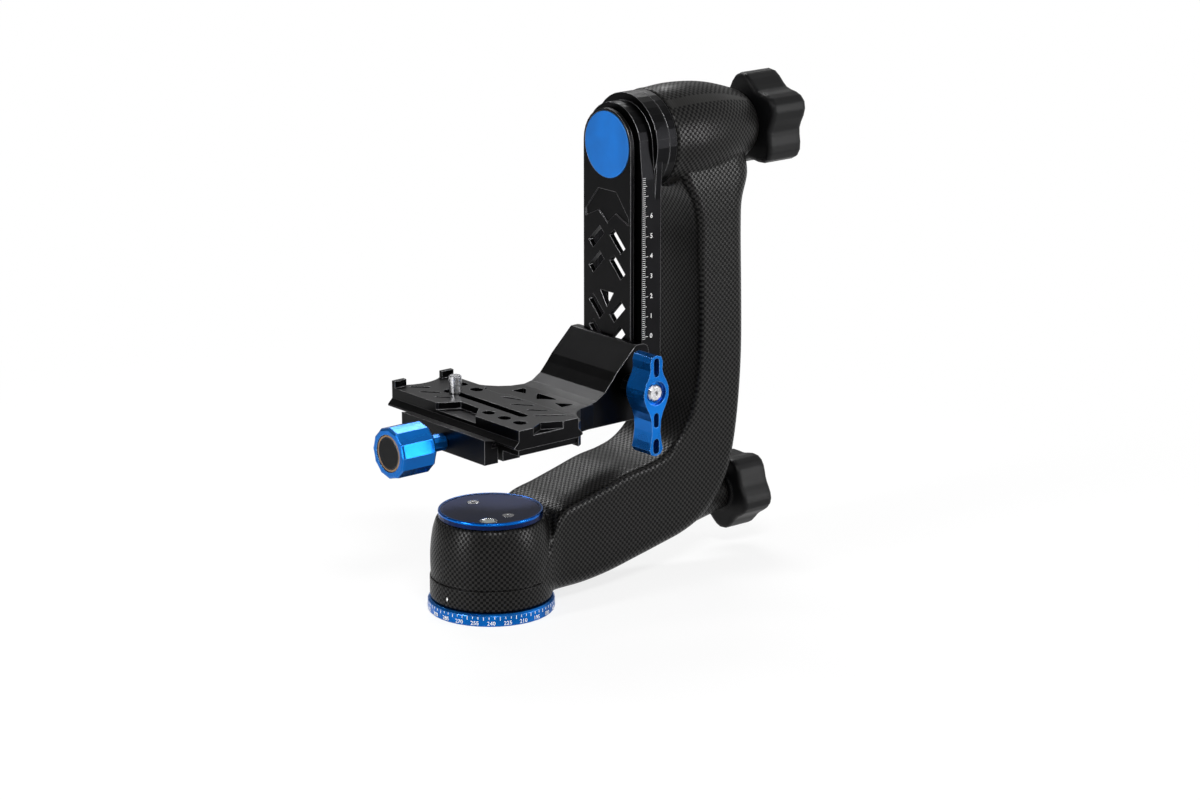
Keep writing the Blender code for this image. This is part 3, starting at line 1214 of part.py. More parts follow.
def jaw():
    """The moving jaw: a bar with an undercut lip over the plate's flange."""
    lip = JAW_TOP - JAW_SLOPE
    section = [(JAW_OUTER_X, CLAMP_BLOCK_LOW), (JAW_FOOT_X, CLAMP_BLOCK_LOW),
               (JAW_FOOT_X, PLATE_BOTTOM - 2 * GAP),
               (JAW_INNER_X, PLATE_BOTTOM - 2 * GAP), (JAW_INNER_X, lip - JAW_BEVEL - GAP),
               (JAW_LIP_X - JAW_BEVEL, lip - JAW_BEVEL), (JAW_LIP_X, lip), (JAW_OUTER_X, JAW_TOP)]
    item = extruded("jaw", [section], -JAW_HALF, JAW_HALF, "Y", finish="black_metal")
    boolean(item, ring("jaw_bore", CLAMP_ROD_RADIUS + GAP, 0, JAW_OUTER_X - OVERRUN,
                       JAW_FOOT_X + OVERRUN, "X",
                       (0, 0, CLAMP_AXIS_Z), SMALL_STEPS))
    for side in (1, -1):
        hole = ring("guide_bore", GUIDE_RADIUS + GAP, 0, JAW_OUTER_X + GUIDE_WALL,
                    JAW_FOOT_X + OVERRUN, "X",
                    (0, side * GUIDE_Y, CLAMP_AXIS_Z), SMALL_STEPS)
        boolean(item, hole)


def clamp_knob():
    """The fluted blue knob with a cup in its face, and what is fitted to it."""
    centre = (0, 0, CLAMP_AXIS_Z)
    end = CLAMP_KNOB_FACE_X + CLAMP_KNOB_LENGTH
    outline = lobed_outline(CLAMP_KNOB_RADIUS, CLAMP_FLUTES, CLAMP_FLUTE_SHARE, CLAMP_FLUTE_POINTS)
    knob = extruded("clamp_knob", [shifted(outline, 0, CLAMP_AXIS_Z)], CLAMP_KNOB_FACE_X, end, "X",
                    CLAMP_KNOB_EDGE,
                    "blue_metal")
    floor = CLAMP_KNOB_FACE_X + CLAMP_CUP_DEPTH
    boolean(knob, ring("knob_cup", CLAMP_CUP_RADIUS, 0, CLAMP_KNOB_FACE_X - OVERRUN, floor, "X", centre))
    rod_start = floor + CLAMP_ROD_CAP
    boolean(knob, ring("knob_bore", CLAMP_ROD_RADIUS + GAP, 0, rod_start - GAP, end + OVERRUN, "X",
                       centre,
                       SMALL_STEPS))
    smooth(knob)
    inner = CLAMP_CUP_RADIUS - GAP - CLAMP_RING_WALL
    front = CLAMP_KNOB_FACE_X + GAP
    ring("clamp_knob_ring", CLAMP_CUP_RADIUS - GAP, inner, front, floor - GAP, "X", centre,
         finish="bronze")
    ring("clamp_knob_insert", inner - GAP, 0, front, floor - GAP, "X", centre, finish="black_metal")
    ring("clamp_rod", CLAMP_ROD_RADIUS, 0, rod_start, CLAMP_BLOCK_RIGHT_X - CLAMP_ROD_SHORT, "X", centre,
         SMALL_STEPS, "steel")
    ring("clamp_knob_collar", CLAMP_COLLAR_RADIUS, CLAMP_ROD_RADIUS + GAP, end + GAP,
         JAW_OUTER_X - GAP, "X",
         centre, SMALL_STEPS, "blue_metal")


# Camera plate

def plate_point(shares):
    """A place on the plate from its two shares, as (x, y)."""
    return shares[0] * PLATE_HALF, PLATE_Y_LOW + shares[1] * (PLATE_Y_HIGH - PLATE_Y_LOW)


def plate_section():
    """The plate's section with its two flanges, as (x, z)."""
    foot = FLANGE_Z + FLANGE_HALF - PLATE_HALF
    right = [(PLATE_HALF + GAP, PLATE_BOTTOM), (FLANGE_HALF, FLANGE_Z - FLANGE_LIP),
             (FLANGE_HALF, FLANGE_Z),
             (PLATE_HALF, foot), (PLATE_HALF, PLATE_TOP)]
    return right + [(-across, height) for across, height in reversed(right)]


def plate_lips(plate):
    """Raise the two end lips and hollow the edge between them."""
    for side in (1, -1):
        outer, inner = side * PLATE_HALF, side * (PLATE_HALF - PLATE_LIP_WIDTH)
        lip = block("plate_lip", (min(outer, inner), PLATE_Y_HIGH - PLATE_LIP_LENGTH,
                                  PLATE_TOP - OVERRUN),
                    (max(outer, inner), PLATE_Y_HIGH, PLATE_TOP + PLATE_LIP_HEIGHT))
        boolean(plate, lip, "UNION")
    half = PLATE_HALF - PLATE_LIP_WIDTH
    radius = (half ** 2 + END_NOTCH_DEPTH ** 2) / (2 * END_NOTCH_DEPTH)
    hollow = ring("plate_end_hollow", radius, 0, PLATE_BOTTOM - OVERRUN, PLATE_TOP + OVERRUN,
                  centre=(0, PLATE_Y_HIGH + radius - END_NOTCH_DEPTH, 0), steps=FINE_STEPS)
    boolean(plate, hollow)


def qr_plate():
    """The camera plate: flanged bar, long slot with its undercut, windows, notches and lips."""
    plate = extruded("qr_plate", [plate_section()], PLATE_Y_LOW, PLATE_Y_HIGH, "Y", finish="black_metal")
    plate_lips(plate)
    low, high = PLATE_BOTTOM - OVERRUN, PLATE_TOP + OVERRUN
    slot = slot_outline((0, PLATE_SLOT_LOW), (0, PLATE_SLOT_HIGH), PLATE_SLOT_HALF)
    boolean(plate, extruded("plate_slot", [slot], low, high))
    entry = ring("plate_entry", PLATE_ENTRY_RADIUS, 0, low, high, centre=(0, PLATE_SLOT_HIGH, 0),
                 steps=SMALL_STEPS)
    boolean(plate, entry)
    way = slot_outline((0, PLATE_SLOT_LOW), (0, PLATE_SLOT_HIGH), UNDERCUT_HALF, 6)
    boolean(plate, extruded("plate_undercut", [way], low, PLATE_BOTTOM + UNDERCUT_DEPTH))
    for number, shares in enumerate(PLATE_CUT_SHARES):
        cut = slot_outline(plate_point(shares[:2]), plate_point(shares[2:]), PLATE_CUT_HALF, 2)
        boolean(plate, extruded(f"plate_cut_{number}", [cut], low, high))
    for number, shares in enumerate(PLATE_OVAL_SHARES):
        across, along = plate_point(shares)
        oval = slot_outline((across, along - PLATE_OVAL_HALF), (across, along + PLATE_OVAL_HALF),
                            PLATE_OVAL_RADIUS, 6)
        boolean(plate, extruded(f"plate_oval_{number}", [oval], low, high))
    for number, table in enumerate((LONG_NOTCH_SHARES, SHORT_NOTCH_SHARES, EDGE_NOTCH_SHARES)):
        loop = [plate_point(shares) for shares in table]
        boolean(plate, extruded(f"plate_notch_{number}", [loop], PLATE_TOP - NOTCH_DROP, high))


def camera_screw():
    """The captive camera screw and the washer that slides with it."""
    place = (0, CAMERA_SCREW_Y, 0)
    roof = PLATE_BOTTOM + UNDERCUT_DEPTH
    washer_high = roof - GAP
    washer_low = washer_high - WASHER_THICKNESS
    ring("screw_slider", UNDERCUT_HALF - SLIDE_GAP, CAMERA_NECK_RADIUS + GAP, washer_low, washer_high,
         centre=place, steps=SMALL_STEPS, finish="steel")
    head_high = washer_low - GAP
    head_low = head_high - CAMERA_HEAD_HEIGHT
    shoulder = PLATE_TOP + GAP
    tip = PLATE_TOP + CAMERA_SCREW_PROUD
    profile = [(0, tip), (CAMERA_SCREW_RADIUS - HEX_DEPTH / 2, tip),
               (CAMERA_SCREW_RADIUS, tip - HEX_DEPTH / 2),
               (CAMERA_SCREW_RADIUS, shoulder), (CAMERA_NECK_RADIUS, shoulder), (CAMERA_NECK_RADIUS,
                                                                                 head_high),
               (CAMERA_HEAD_RADIUS, head_high), (CAMERA_HEAD_RADIUS, head_low), (HEX_RADIUS, head_low),
               (HEX_RADIUS, head_low + HEX_DEPTH), (0, head_low + HEX_DEPTH)]
    turned("camera_screw", profile, centre=place, finish="steel")


def main():
    """Build every piece."""
    clear_scene()
    base_disc()
    degree_ring()
    pan_spindle()
    pan_bearings()
    pan_nut()
    arm_shell()
    pan_sleeve()
    bearing_retainer()
    top_cap()
    cap_screws()
    bubble_level()
    tilt_sleeve()
    tilt_bearings()
    tilt_collar()
    lock_bushes()
    lock_knobs()
    lock_rods()
    pan_brake_shoe()
    tilt_brake_disc()
    swing_arm()
    badge()
    tilt_shaft()
    tilt_nut()
    bracket_part()
    rail_shoe()
    lever()
    lever_fittings()
    clamp_base()
    clamp_fittings()
    jaw()
    clamp_knob()
    qr_plate()
    camera_screw()


main()
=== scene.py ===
"""Looks of the gimbal tripod head: finishes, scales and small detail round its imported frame."""
import json
import math
from functools import partial

import bmesh
import bpy
from mathutils import Matrix, Vector

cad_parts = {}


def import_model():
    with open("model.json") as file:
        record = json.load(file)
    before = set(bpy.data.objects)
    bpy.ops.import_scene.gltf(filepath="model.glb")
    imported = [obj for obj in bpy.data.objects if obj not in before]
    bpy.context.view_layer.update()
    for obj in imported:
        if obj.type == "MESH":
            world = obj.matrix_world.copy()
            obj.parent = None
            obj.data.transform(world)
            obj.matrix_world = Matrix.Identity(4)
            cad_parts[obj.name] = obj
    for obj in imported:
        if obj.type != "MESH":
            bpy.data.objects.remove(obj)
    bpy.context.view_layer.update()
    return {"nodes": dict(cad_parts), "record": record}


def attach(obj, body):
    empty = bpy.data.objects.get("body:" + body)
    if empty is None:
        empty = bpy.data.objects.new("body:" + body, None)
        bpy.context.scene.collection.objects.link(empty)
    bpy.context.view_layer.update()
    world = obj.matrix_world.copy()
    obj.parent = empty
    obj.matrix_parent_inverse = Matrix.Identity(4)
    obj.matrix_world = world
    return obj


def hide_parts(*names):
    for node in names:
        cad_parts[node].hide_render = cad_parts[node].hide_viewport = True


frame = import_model()
NODES = frame["nodes"]
MM = 0.001

# The camera, worked out from the object's own lines in the photograph, in metres and degrees
CAMERA_PLACE = Vector((-1.0173, -1.3088, 0.5700))
CAMERA_AZIMUTH = -39.69
CAMERA_ELEVATION = 15.69
CAMERA_LENS = 107.5
SENSOR_WIDTH = 36.0
CLIP_START, CLIP_END = 0.05, 60.0

# Colours, as red, green and blue
ANODISED_BLACK = (0.0055, 0.0055, 0.0060)
CARBON_TOW = (0.0018, 0.0018, 0.0019)
CARBON_TOW_LIT = (0.0100, 0.0096, 0.0090)
BRIGHT_BLUE = (0.001, 0.115, 0.430)
RIM_BLUE = (0.001, 0.110, 0.480)
BADGE_BLUE = (0.000, 0.130, 0.480)
NAVY = (0.003, 0.010, 0.055)
STEEL = (0.560, 0.560, 0.580)
BRONZE = (0.300, 0.190, 0.110)
KNOB_BLACK = (0.0022, 0.0022, 0.0025)
MARKING_WHITE = (0.800, 0.800, 0.800)
LEVEL_GREEN = (0.330, 0.370, 0.330)
FLOOR_WHITE = (0.900, 0.900, 0.900)

# Colours of the painted highlights along the edges, lighter tints of each finish
PAINTED_HIGHLIGHT_BLACK = (0.30, 0.30, 0.31)
PAINTED_HIGHLIGHT_RIM = (0.20, 0.50, 0.90)
PAINTED_HIGHLIGHT_BLUE = (0.35, 0.62, 0.95)
PAINTED_HIGHLIGHT_BADGE = (0.20, 0.45, 0.80)
PAINTED_HIGHLIGHT_NAVY = (0.10, 0.25, 0.60)

# Finishes: noise scales, heights of the bumps, and how far tone and roughness stray
CLOUD_STOPS = (0.3, 0.7)
CLOUD_DETAIL, GRAIN_DETAIL = 3.0, 2.0
BEVEL_SAMPLES = 6
EDGE_GAIN = 5.0
ANODISED_CLOUD = 60.0
ANODISED_GRAIN = 3600.0
ANODISED_GRAIN_HEIGHT = 0.012 * MM
ANODISED_STRAY = (0.85, 1.15)
ANODISED_GLOSS = (-0.04, 0.05)
RUBBER_CLOUD = 90.0
RUBBER_GRAIN = 2600.0
RUBBER_GRAIN_HEIGHT = 0.03 * MM
RUBBER_STRAY = (0.8, 1.3)
RUBBER_ROUGHNESS = (0.36, 0.50)
RUBBER_SHEEN = 0.15
RUBBER_EDGE = 2.2 * MM
TURNED_STREAKS = 700.0
TURNED_HEIGHT = 0.01 * MM
TURNED_STRAY = (0.8, 1.0)
TURNED_GLOSS = (-0.06, 0.08)
TURNED_EDGE = 0.2 * MM
MARKING_CLOUD = 500.0
MARKING_STRAY = (0.9, 1.0)
MARKING_ROUGHNESS = (0.45, 0.60)
LEVEL_CLOUD = 300.0
LEVEL_STRAY = (0.85, 1.0)
LEVEL_ROUGHNESS = (0.05, 0.10)
LEVEL_COAT_ROUGHNESS = 0.03

# The woven carbon: lengths in metres, the rest as shares
WEAVE_PITCH = 1.4 * MM
WEAVE_HEIGHT = 0.05 * MM
WEAVE_BUMP = 0.5
WEAVE_EDGE = 0.8 * MM
WEAVE_STOPS = (0.15, 0.95)
WEAVE_ROUGHNESS = (0.50, 0.30)
WEAVE_SHEEN = (0.05, 0.20)
STRAND_SCALE = 1400.0
TOW_SHARE, STRAND_SHARE = 0.75, 0.25
SIDE_SHARE = 0.55
LYING_SHARE = 0.70
CUP_REACH = 0.0315

# Surround, floor and lamps, in metres and watts
WORLD_STRENGTH = 0.22
LIT_SIDE = (0.8, -0.6, 0.0)
LIT_SPAN = (-0.3, 0.9)
DIM_SHARE = 0.12
FLOOR_HALF_SIZE = 6.0
FLOOR_ROUGHNESS = 0.9
FLOOR_REACH = 0.5
FLOOR_SHARE = 0.80
FLOOR_FADE = (0.20, 0.55)
LAMP_TARGET = (0.06, 0.0, 0.12)
LAMPS = (
    ("strip_left", (-1.25, 0.10, 0.45), (0.16, 1.1), 14.0),
    ("strip_right", (0.85, -1.10, 0.15), (0.22, 1.2), 16.0),
    ("front_high", (-0.55, -1.0, 1.1), (0.5, 0.20), 14.0),
    ("top", (0.35, 0.75, 0.85), (0.8, 0.16), 7.0),
)

# The arm's form, in millimetres as the solids have it
ARM_LOW = 6.5
ARM_REAR_X = 147.0
ARM_HALF_WIDTH = 22.0
TILT_HEIGHT = 220.0
CUP_TOP = 46.6
CUP_RIM_RADIUS = 26.6
CUP_RADIUS = 29.6
COLLAR_RADIUS = 29.9
COLLAR_TOP = 17.8
CAVITY_RADIUS = 22.5
EDGE_ROUND = 0.8
BARREL_FRONT_X = 97.9
BARREL_REAR_X = 160.6
BARREL_RADIUS = 25.2
BARREL_REAR_RADIUS = 12.6
SLEEVE_BORE_RADIUS = 20.3
SLEEVE_BORE_END = 135.9
LOCK_BORE_RADIUS = 6.3
PAN_LOCK_Z = 30.0
PAN_BOSS_END_X = 146.8
PAN_BOSS_RADIUS = 9.0
PAN_BOSS_ROOT_RADIUS = 14.0
BOSS_LENGTH = 30.0
TILT_AXIS = (0, 0, TILT_HEIGHT)
PAN_LOCK_AXIS = (0, 0, PAN_LOCK_Z)

# The cup's side from rim to foot: how far out and how far down, as shares
CUP_SHARES = ((0.00, 0.00), (0.50, 0.17), (0.84, 0.40), (1.00, 0.66), (0.93, 1.00))
# The barrel's side from rear to front: how far inward and how far along, as shares
BARREL_SHARES = (
    (1.00, 1.00), (0.86, 0.98), (0.64, 0.92), (0.48, 0.84), (0.33, 0.745), (0.20, 0.65),
    (0.11, 0.56), (0.05, 0.47), (0.00, 0.33), (0.00, 0.21), (0.05, 0.08),
)
# Stations along the beam: inner edge (x, z), outer edge (x, z), half width and corner radius, as shares
STATION_SHARES = (
    (0.013, 0.052, 0.013, 0.000, 1.295, 0.23),
    (0.081, 0.082, 0.081, 0.000, 1.227, 0.30),
    (0.136, 0.145, 0.136, 0.000, 1.105, 0.45),
    (0.190, 0.194, 0.195, 0.000, 1.030, 0.45),
    (0.292, 0.214, 0.300, 0.000, 1.000, 0.45),
    (0.387, 0.231, 0.412, 0.009, 1.000, 0.45),
    (0.481, 0.248, 0.525, 0.025, 1.000, 0.45),
    (0.570, 0.257, 0.633, 0.041, 1.000, 0.45),
    (0.640, 0.272, 0.746, 0.060, 1.000, 0.45),
    (0.700, 0.304, 0.841, 0.092, 1.000, 0.45),
    (0.744, 0.352, 0.907, 0.142, 1.000, 0.45),
    (0.773, 0.418, 0.950, 0.208, 1.000, 0.45),
    (0.787, 0.505, 0.980, 0.315, 1.000, 0.45),
    (0.789, 0.615, 0.998, 0.460, 1.000, 0.45),
    (0.783, 0.719, 1.000, 0.625, 1.000, 0.45),
    (0.781, 0.794, 0.998, 0.775, 1.000, 0.45),
    (0.763, 0.850, 1.004, 0.840, 1.000, 0.48),
    (0.729, 0.897, 1.036, 0.902, 0.977, 0.55),
    (0.705, 0.953, 1.034, 0.957, 0.886, 0.60),
)
INNER_CORNER_SHARE = 0.32
CORNER_LIMIT = 0.95
GROOVE_DEPTH = 0.9
GROOVE_WIDTH = 0.7
GROOVE_TURNS = (74, 286)
GROOVE_STEP = 2

# How finely forms are made: steps, millimetres and degrees
CUP_STEPS = 5
BARREL_STEPS = 4
STATION_STEPS = 6
CORNER_STEPS = 9
ROUND_STEPS = 120
POLE_RADIUS = 0.01
OVERCUT = 3
VOXEL = 0.7
BLEND_TURNS = 3
BLEND_FACTOR = 0.5
ARM_SHARP_ANGLE = 50.0
RIM_SHARP_ANGLE = 30.0

# The pocket behind the swing arm's windows, corner to corner, in millimetres
WEB_POCKET = ((76.0, -14.2, 92.0), (81.0, 14.2, 189.0))
# The rim's section: how far past the cap's radius and past its top
CAP_RIM_SECTION = ((-1.1, -0.02), (-0.9, 0.10), (-0.3, 0.06), (0.10, -0.45), (0.10, -1.3), (-0.4, -1.3))

# Scales: places and sizes of the marks, in millimetres and degrees
MARK_DEPTH = 0.04
LETTER_STEPS = 2
RULER_ZERO_Z = 127.0
RULER_TOP_Z = 206.0
RULER_X = 77.6
RULER_FACE_Y = -21.8
RULER_TICK_WIDTH = 0.17
RULER_TICKS = ((10, 3.6), (5, 2.7), (1, 1.8))
RULER_NUMBERS = 7
RULER_NUMBER_STEP = 10
RULER_NUMBER_OFFSET = 5.6
RULER_NUMBER_HEIGHT = 3.4
RING_RADIUS = 31.0
RING_TICK_TOP = 5.0
RING_TICK_HALF_WIDTH = 0.14
RING_SHORT_TICK = 1.1
RING_LONG_TICK = 1.7
RING_STEP = 5
RING_LABEL_STEP = 15
RING_LABEL_TURN = 472.0
RING_LABEL_Z = 1.75
RING_LABEL_LIFT = 0.05
RING_LABEL_HEIGHT = 2.8
INDEX_DEGREES = 285.0
INDEX_Z = 11.0
INDEX_HALF_WIDTH = 0.55
INDEX_HALF_HEIGHT = 1.1
INDEX_LIFT = 0.10


def new_material(name):
    """A node material with its shader and its links."""
    made = bpy.data.materials.new(name)
    made.use_nodes = True
    return made, made.node_tree.nodes, made.node_tree.links, made.node_tree.nodes["Principled BSDF"]


def math_node(nodes, links, operation, first, second=None):
    """One math step between sockets or numbers."""
    step = nodes.new("ShaderNodeMath")
    step.operation = operation
    for slot, value in enumerate((first, second)):
        if value is None:
            continue
        if isinstance(value, (int, float)):
            step.inputs[slot].default_value = value
        else:
            links.new(value, step.inputs[slot])
    return step.outputs[0]


def choice(nodes, links, share, first, second):
    """The first value where the share is 1, and the second where it is 0."""
    taken = math_node(nodes, links, "MULTIPLY", share, first)
    rest = math_node(nodes, links, "MULTIPLY", math_node(nodes, links, "SUBTRACT", 1.0, share), second)
    return math_node(nodes, links, "ADD", taken, rest)


def noise(nodes, links, scale, detail=CLOUD_DETAIL):
    """A noise value in the object's own space."""
    step = nodes.new("ShaderNodeTexNoise")
    step.inputs["Scale"].default_value = scale
    step.inputs["Detail"].default_value = detail
    links.new(nodes.new("ShaderNodeTexCoord").outputs["Object"], step.inputs["Vector"])
    return step.outputs["Fac"]


def ramp(nodes, links, value, stops):
    """Colours along a value between 0 and 1."""
    step = nodes.new("ShaderNodeValToRGB")
    for element, (place, colour) in zip(step.color_ramp.elements, stops):
        element.position = place
        element.color = (*colour, 1.0)
    links.new(value, step.inputs["Fac"])
    return step.outputs["Color"]


def stray(nodes, links, value, colour, shares):
    """A colour that strays between two shares of itself along a noise value."""
    return ramp(nodes, links, value, [(place, tuple(share * part for part in colour))
                                      for place, share in zip(CLOUD_STOPS, shares)])


def spread(nodes, links, value, low, high):
    """A value between 0 and 1 spread between two others."""
    step = nodes.new("ShaderNodeMapRange")
    step.inputs["To Min"].default_value = low
    step.inputs["To Max"].default_value = high
    links.new(value, step.inputs["Value"])
    return step.outputs["Result"]


def smooth_spread(nodes, links, value, start, end, low, high):
    """A value that passes softly from low at the start to high at the end."""
    step = nodes.new("ShaderNodeMapRange")
    step.interpolation_type = "SMOOTHSTEP"
    for socket, number in zip(("From Min", "From Max", "To Min", "To Max"), (start, end, low, high)):
        step.inputs[socket].default_value = number
    links.new(value, step.inputs["Value"])
    return step.outputs["Result"]


def soft_edge_normal(nodes, radius):
    """The normal with every sharp edge rounded off by a small radius."""
    step = nodes.new("ShaderNodeBevel")
    step.samples = BEVEL_SAMPLES
    step.inputs["Radius"].default_value = radius
    return step.outputs["Normal"]


def bump(nodes, links, height, distance, normal, strength=1.0):
    """A bump in metres over a normal."""
    step = nodes.new("ShaderNodeBump")
    step.inputs["Distance"].default_value = distance
    step.inputs["Strength"].default_value = strength
    links.new(height, step.inputs["Height"])
    links.new(normal, step.inputs["Normal"])
    return step.outputs["Normal"]


def edge_mask(nodes, links, rounded):
    """How much the rounded normal leaves the true one: bright along edges, where the painted highlight goes.
    """
    geometry = nodes.new("ShaderNodeNewGeometry")
    dot = nodes.new("ShaderNodeVectorMath")
    dot.operation = "DOT_PRODUCT"
    links.new(rounded, dot.inputs[0])
    links.new(geometry.outputs["Normal"], dot.inputs[1])
    gap = math_node(nodes, links, "SUBTRACT", 1.0, dot.outputs["Value"])
    return math_node(nodes, links, "MINIMUM", math_node(nodes, links, "MULTIPLY", gap, EDGE_GAIN), 1.0)


def anodised(name, colour, edge_highlight, roughness, edge_highlight_share=0.5, edge=0.35 * MM, metallic=0.9):
    """Blasted and anodised aluminium: fine grain, slight tone changes and a painted highlight along the
    edges.
    """
    made, nodes, links, shader = new_material(name)
    rounded = soft_edge_normal(nodes, edge)
    mask = edge_mask(nodes, links, rounded)
    cloud = noise(nodes, links, ANODISED_CLOUD)
    # Along the edges a lighter colour is mixed in: a painted highlight
    mix = nodes.new("ShaderNodeMix")
    mix.data_type = "RGBA"
    links.new(math_node(nodes, links, "MULTIPLY", mask, edge_highlight_share), mix.inputs["Factor"])
    links.new(stray(nodes, links, cloud, colour, ANODISED_STRAY), mix.inputs["A"])
    mix.inputs["B"].default_value = (*edge_highlight, 1.0)
    links.new(mix.outputs["Result"], shader.inputs["Base Color"])
    gloss = spread(nodes, links, cloud, *(roughness + part for part in ANODISED_GLOSS))
    links.new(gloss, shader.inputs["Roughness"])
    shader.inputs["Metallic"].default_value = metallic
    grain = noise(nodes, links, ANODISED_GRAIN, GRAIN_DETAIL)
    links.new(bump(nodes, links, grain, ANODISED_GRAIN_HEIGHT, rounded), shader.inputs["Normal"])
    return made


def weave_value(nodes, links, across, along):
    """A plain weave: which tow is on top, and how high it stands there."""
    calc = partial(math_node, nodes, links)
    columns, rows = calc("DIVIDE", across, WEAVE_PITCH), calc("DIVIDE", along, WEAVE_PITCH)
    cell = calc("ADD", calc("FLOOR", columns), calc("FLOOR", rows))
    top = calc("LESS_THAN", calc("FLOORED_MODULO", cell, 2.0), 0.5)
    bows = [calc("SINE", calc("MULTIPLY", calc("FRACT", way), math.pi)) for way in (columns, rows)]
    return top, choice(nodes, links, top, *bows)


def carbon_weave(name):
    """Woven carbon under satin lacquer: tows upright and across, laid flat on the sides and round the cup."""
    made, nodes, links, shader = new_material(name)
    calc, chosen = partial(math_node, nodes, links), partial(choice, nodes, links)
    coord = nodes.new("ShaderNodeTexCoord")
    parts = nodes.new("ShaderNodeSeparateXYZ")
    links.new(coord.outputs["Object"], parts.inputs["Vector"])
    x, y, z = (parts.outputs[axis] for axis in "XYZ")
    normal = nodes.new("ShaderNodeSeparateXYZ")
    links.new(coord.outputs["Normal"], normal.inputs["Vector"])
    on_side = calc("GREATER_THAN", calc("ABSOLUTE", normal.outputs["Y"]), SIDE_SHARE)
    reach = calc("SQRT", calc("ADD", calc("MULTIPLY", x, x), calc("MULTIPLY", y, y)))
    on_cup = calc("LESS_THAN", reach, CUP_REACH)
    wrapped = calc("MULTIPLY", calc("ARCTAN2", y, x), CUP_RADIUS * MM)
    across = chosen(on_cup, wrapped, chosen(on_side, x, y))
    lying = calc("GREATER_THAN", calc("ABSOLUTE", normal.outputs["Z"]), LYING_SHARE)
    top, height = weave_value(nodes, links, across, chosen(lying, x, z))
    strands = noise(nodes, links, STRAND_SCALE, GRAIN_DETAIL)
    mixed = calc("ADD", calc("MULTIPLY", top, TOW_SHARE), calc("MULTIPLY", strands, STRAND_SHARE))
    tone = ramp(nodes, links, mixed, list(zip(WEAVE_STOPS, (CARBON_TOW, CARBON_TOW_LIT))))
    links.new(tone, shader.inputs["Base Color"])
    links.new(spread(nodes, links, mixed, *WEAVE_ROUGHNESS), shader.inputs["Roughness"])
    links.new(spread(nodes, links, mixed, *WEAVE_SHEEN), shader.inputs["Specular IOR Level"])
    rounded = soft_edge_normal(nodes, WEAVE_EDGE)
    links.new(bump(nodes, links, height, WEAVE_HEIGHT, rounded, WEAVE_BUMP), shader.inputs["Normal"])
    return made


def rubber(name, colour):
    """Moulded rubber: a fine grain and a soft sheen."""
    made, nodes, links, shader = new_material(name)
    grain = noise(nodes, links, RUBBER_GRAIN, GRAIN_DETAIL)
    cloud = noise(nodes, links, RUBBER_CLOUD)
    links.new(stray(nodes, links, cloud, colour, RUBBER_STRAY), shader.inputs["Base Color"])
    links.new(spread(nodes, links, grain, *RUBBER_ROUGHNESS), shader.inputs["Roughness"])
    shader.inputs["Specular IOR Level"].default_value = RUBBER_SHEEN
    rounded = soft_edge_normal(nodes, RUBBER_EDGE)
    links.new(bump(nodes, links, grain, RUBBER_GRAIN_HEIGHT, rounded), shader.inputs["Normal"])
    return made


def turned_metal(name, colour, roughness):
    """Bare turned metal with faint tool rings and soft edges."""
    made, nodes, links, shader = new_material(name)
    streaks = noise(nodes, links, TURNED_STREAKS, GRAIN_DETAIL)
    links.new(stray(nodes, links, streaks, colour, TURNED_STRAY), shader.inputs["Base Color"])
    gloss = spread(nodes, links, streaks, *(roughness + part for part in TURNED_GLOSS))
    links.new(gloss, shader.inputs["Roughness"])
    shader.inputs["Metallic"].default_value = 1.0
    rounded = soft_edge_normal(nodes, TURNED_EDGE)
    links.new(bump(nodes, links, streaks, TURNED_HEIGHT, rounded), shader.inputs["Normal"])
    return made


def marking(name):
    """Printed white of the scales, a little uneven."""
    made, nodes, links, shader = new_material(name)
    cloud = noise(nodes, links, MARKING_CLOUD)
    links.new(stray(nodes, links, cloud, MARKING_WHITE, MARKING_STRAY), shader.inputs["Base Color"])
    links.new(spread(nodes, links, cloud, *MARKING_ROUGHNESS), shader.inputs["Roughness"])
    return made


def level_glass(name):
    """The level's clear green liquid under glass."""
    made, nodes, links, shader = new_material(name)
    cloud = noise(nodes, links, LEVEL_CLOUD)
    links.new(stray(nodes, links, cloud, LEVEL_GREEN, LEVEL_STRAY), shader.inputs["Base Color"])
    links.new(spread(nodes, links, cloud, *LEVEL_ROUGHNESS), shader.inputs["Roughness"])
    shader.inputs["Coat Weight"].default_value = 1.0
    shader.inputs["Coat Roughness"].default_value = LEVEL_COAT_ROUGHNESS
    return made


def make_materials():
    """Every finish of the head by name."""
    return {
        # The second colour of each anodised finish is the painted highlight along its edges
        "black_metal": anodised("black_metal", ANODISED_BLACK, PAINTED_HIGHLIGHT_BLACK, roughness=0.34,
                                edge_highlight_share=0.7, edge=0.5 * MM, metallic=1.0),
        "rim_blue": anodised("rim_blue", RIM_BLUE, PAINTED_HIGHLIGHT_RIM, roughness=0.22, edge_highlight_share=0.3, metallic=1.0),
        "carbon": carbon_weave("carbon"),
        "blue_metal": anodised("blue_metal", BRIGHT_BLUE, PAINTED_HIGHLIGHT_BLUE, roughness=0.27),
        "badge_blue": anodised("badge_blue", BADGE_BLUE, PAINTED_HIGHLIGHT_BADGE, roughness=0.42, edge_highlight_share=0.3,
                               metallic=0.6),
        "navy_metal": anodised("navy_metal", NAVY, PAINTED_HIGHLIGHT_NAVY, roughness=0.36, edge_highlight_share=0.4),
        "steel": turned_metal("steel", STEEL, roughness=0.26),
        "rubber": rubber("rubber", KNOB_BLACK),
        "bronze": turned_metal("bronze", BRONZE, roughness=0.35),
        "level": level_glass("level"),
        "marking_white": marking("marking_white"),
    }


def refinish(item, finish):
    """Give an object one finish in place of what it has."""
    item.data.materials.clear()
    item.data.materials.append(finish)


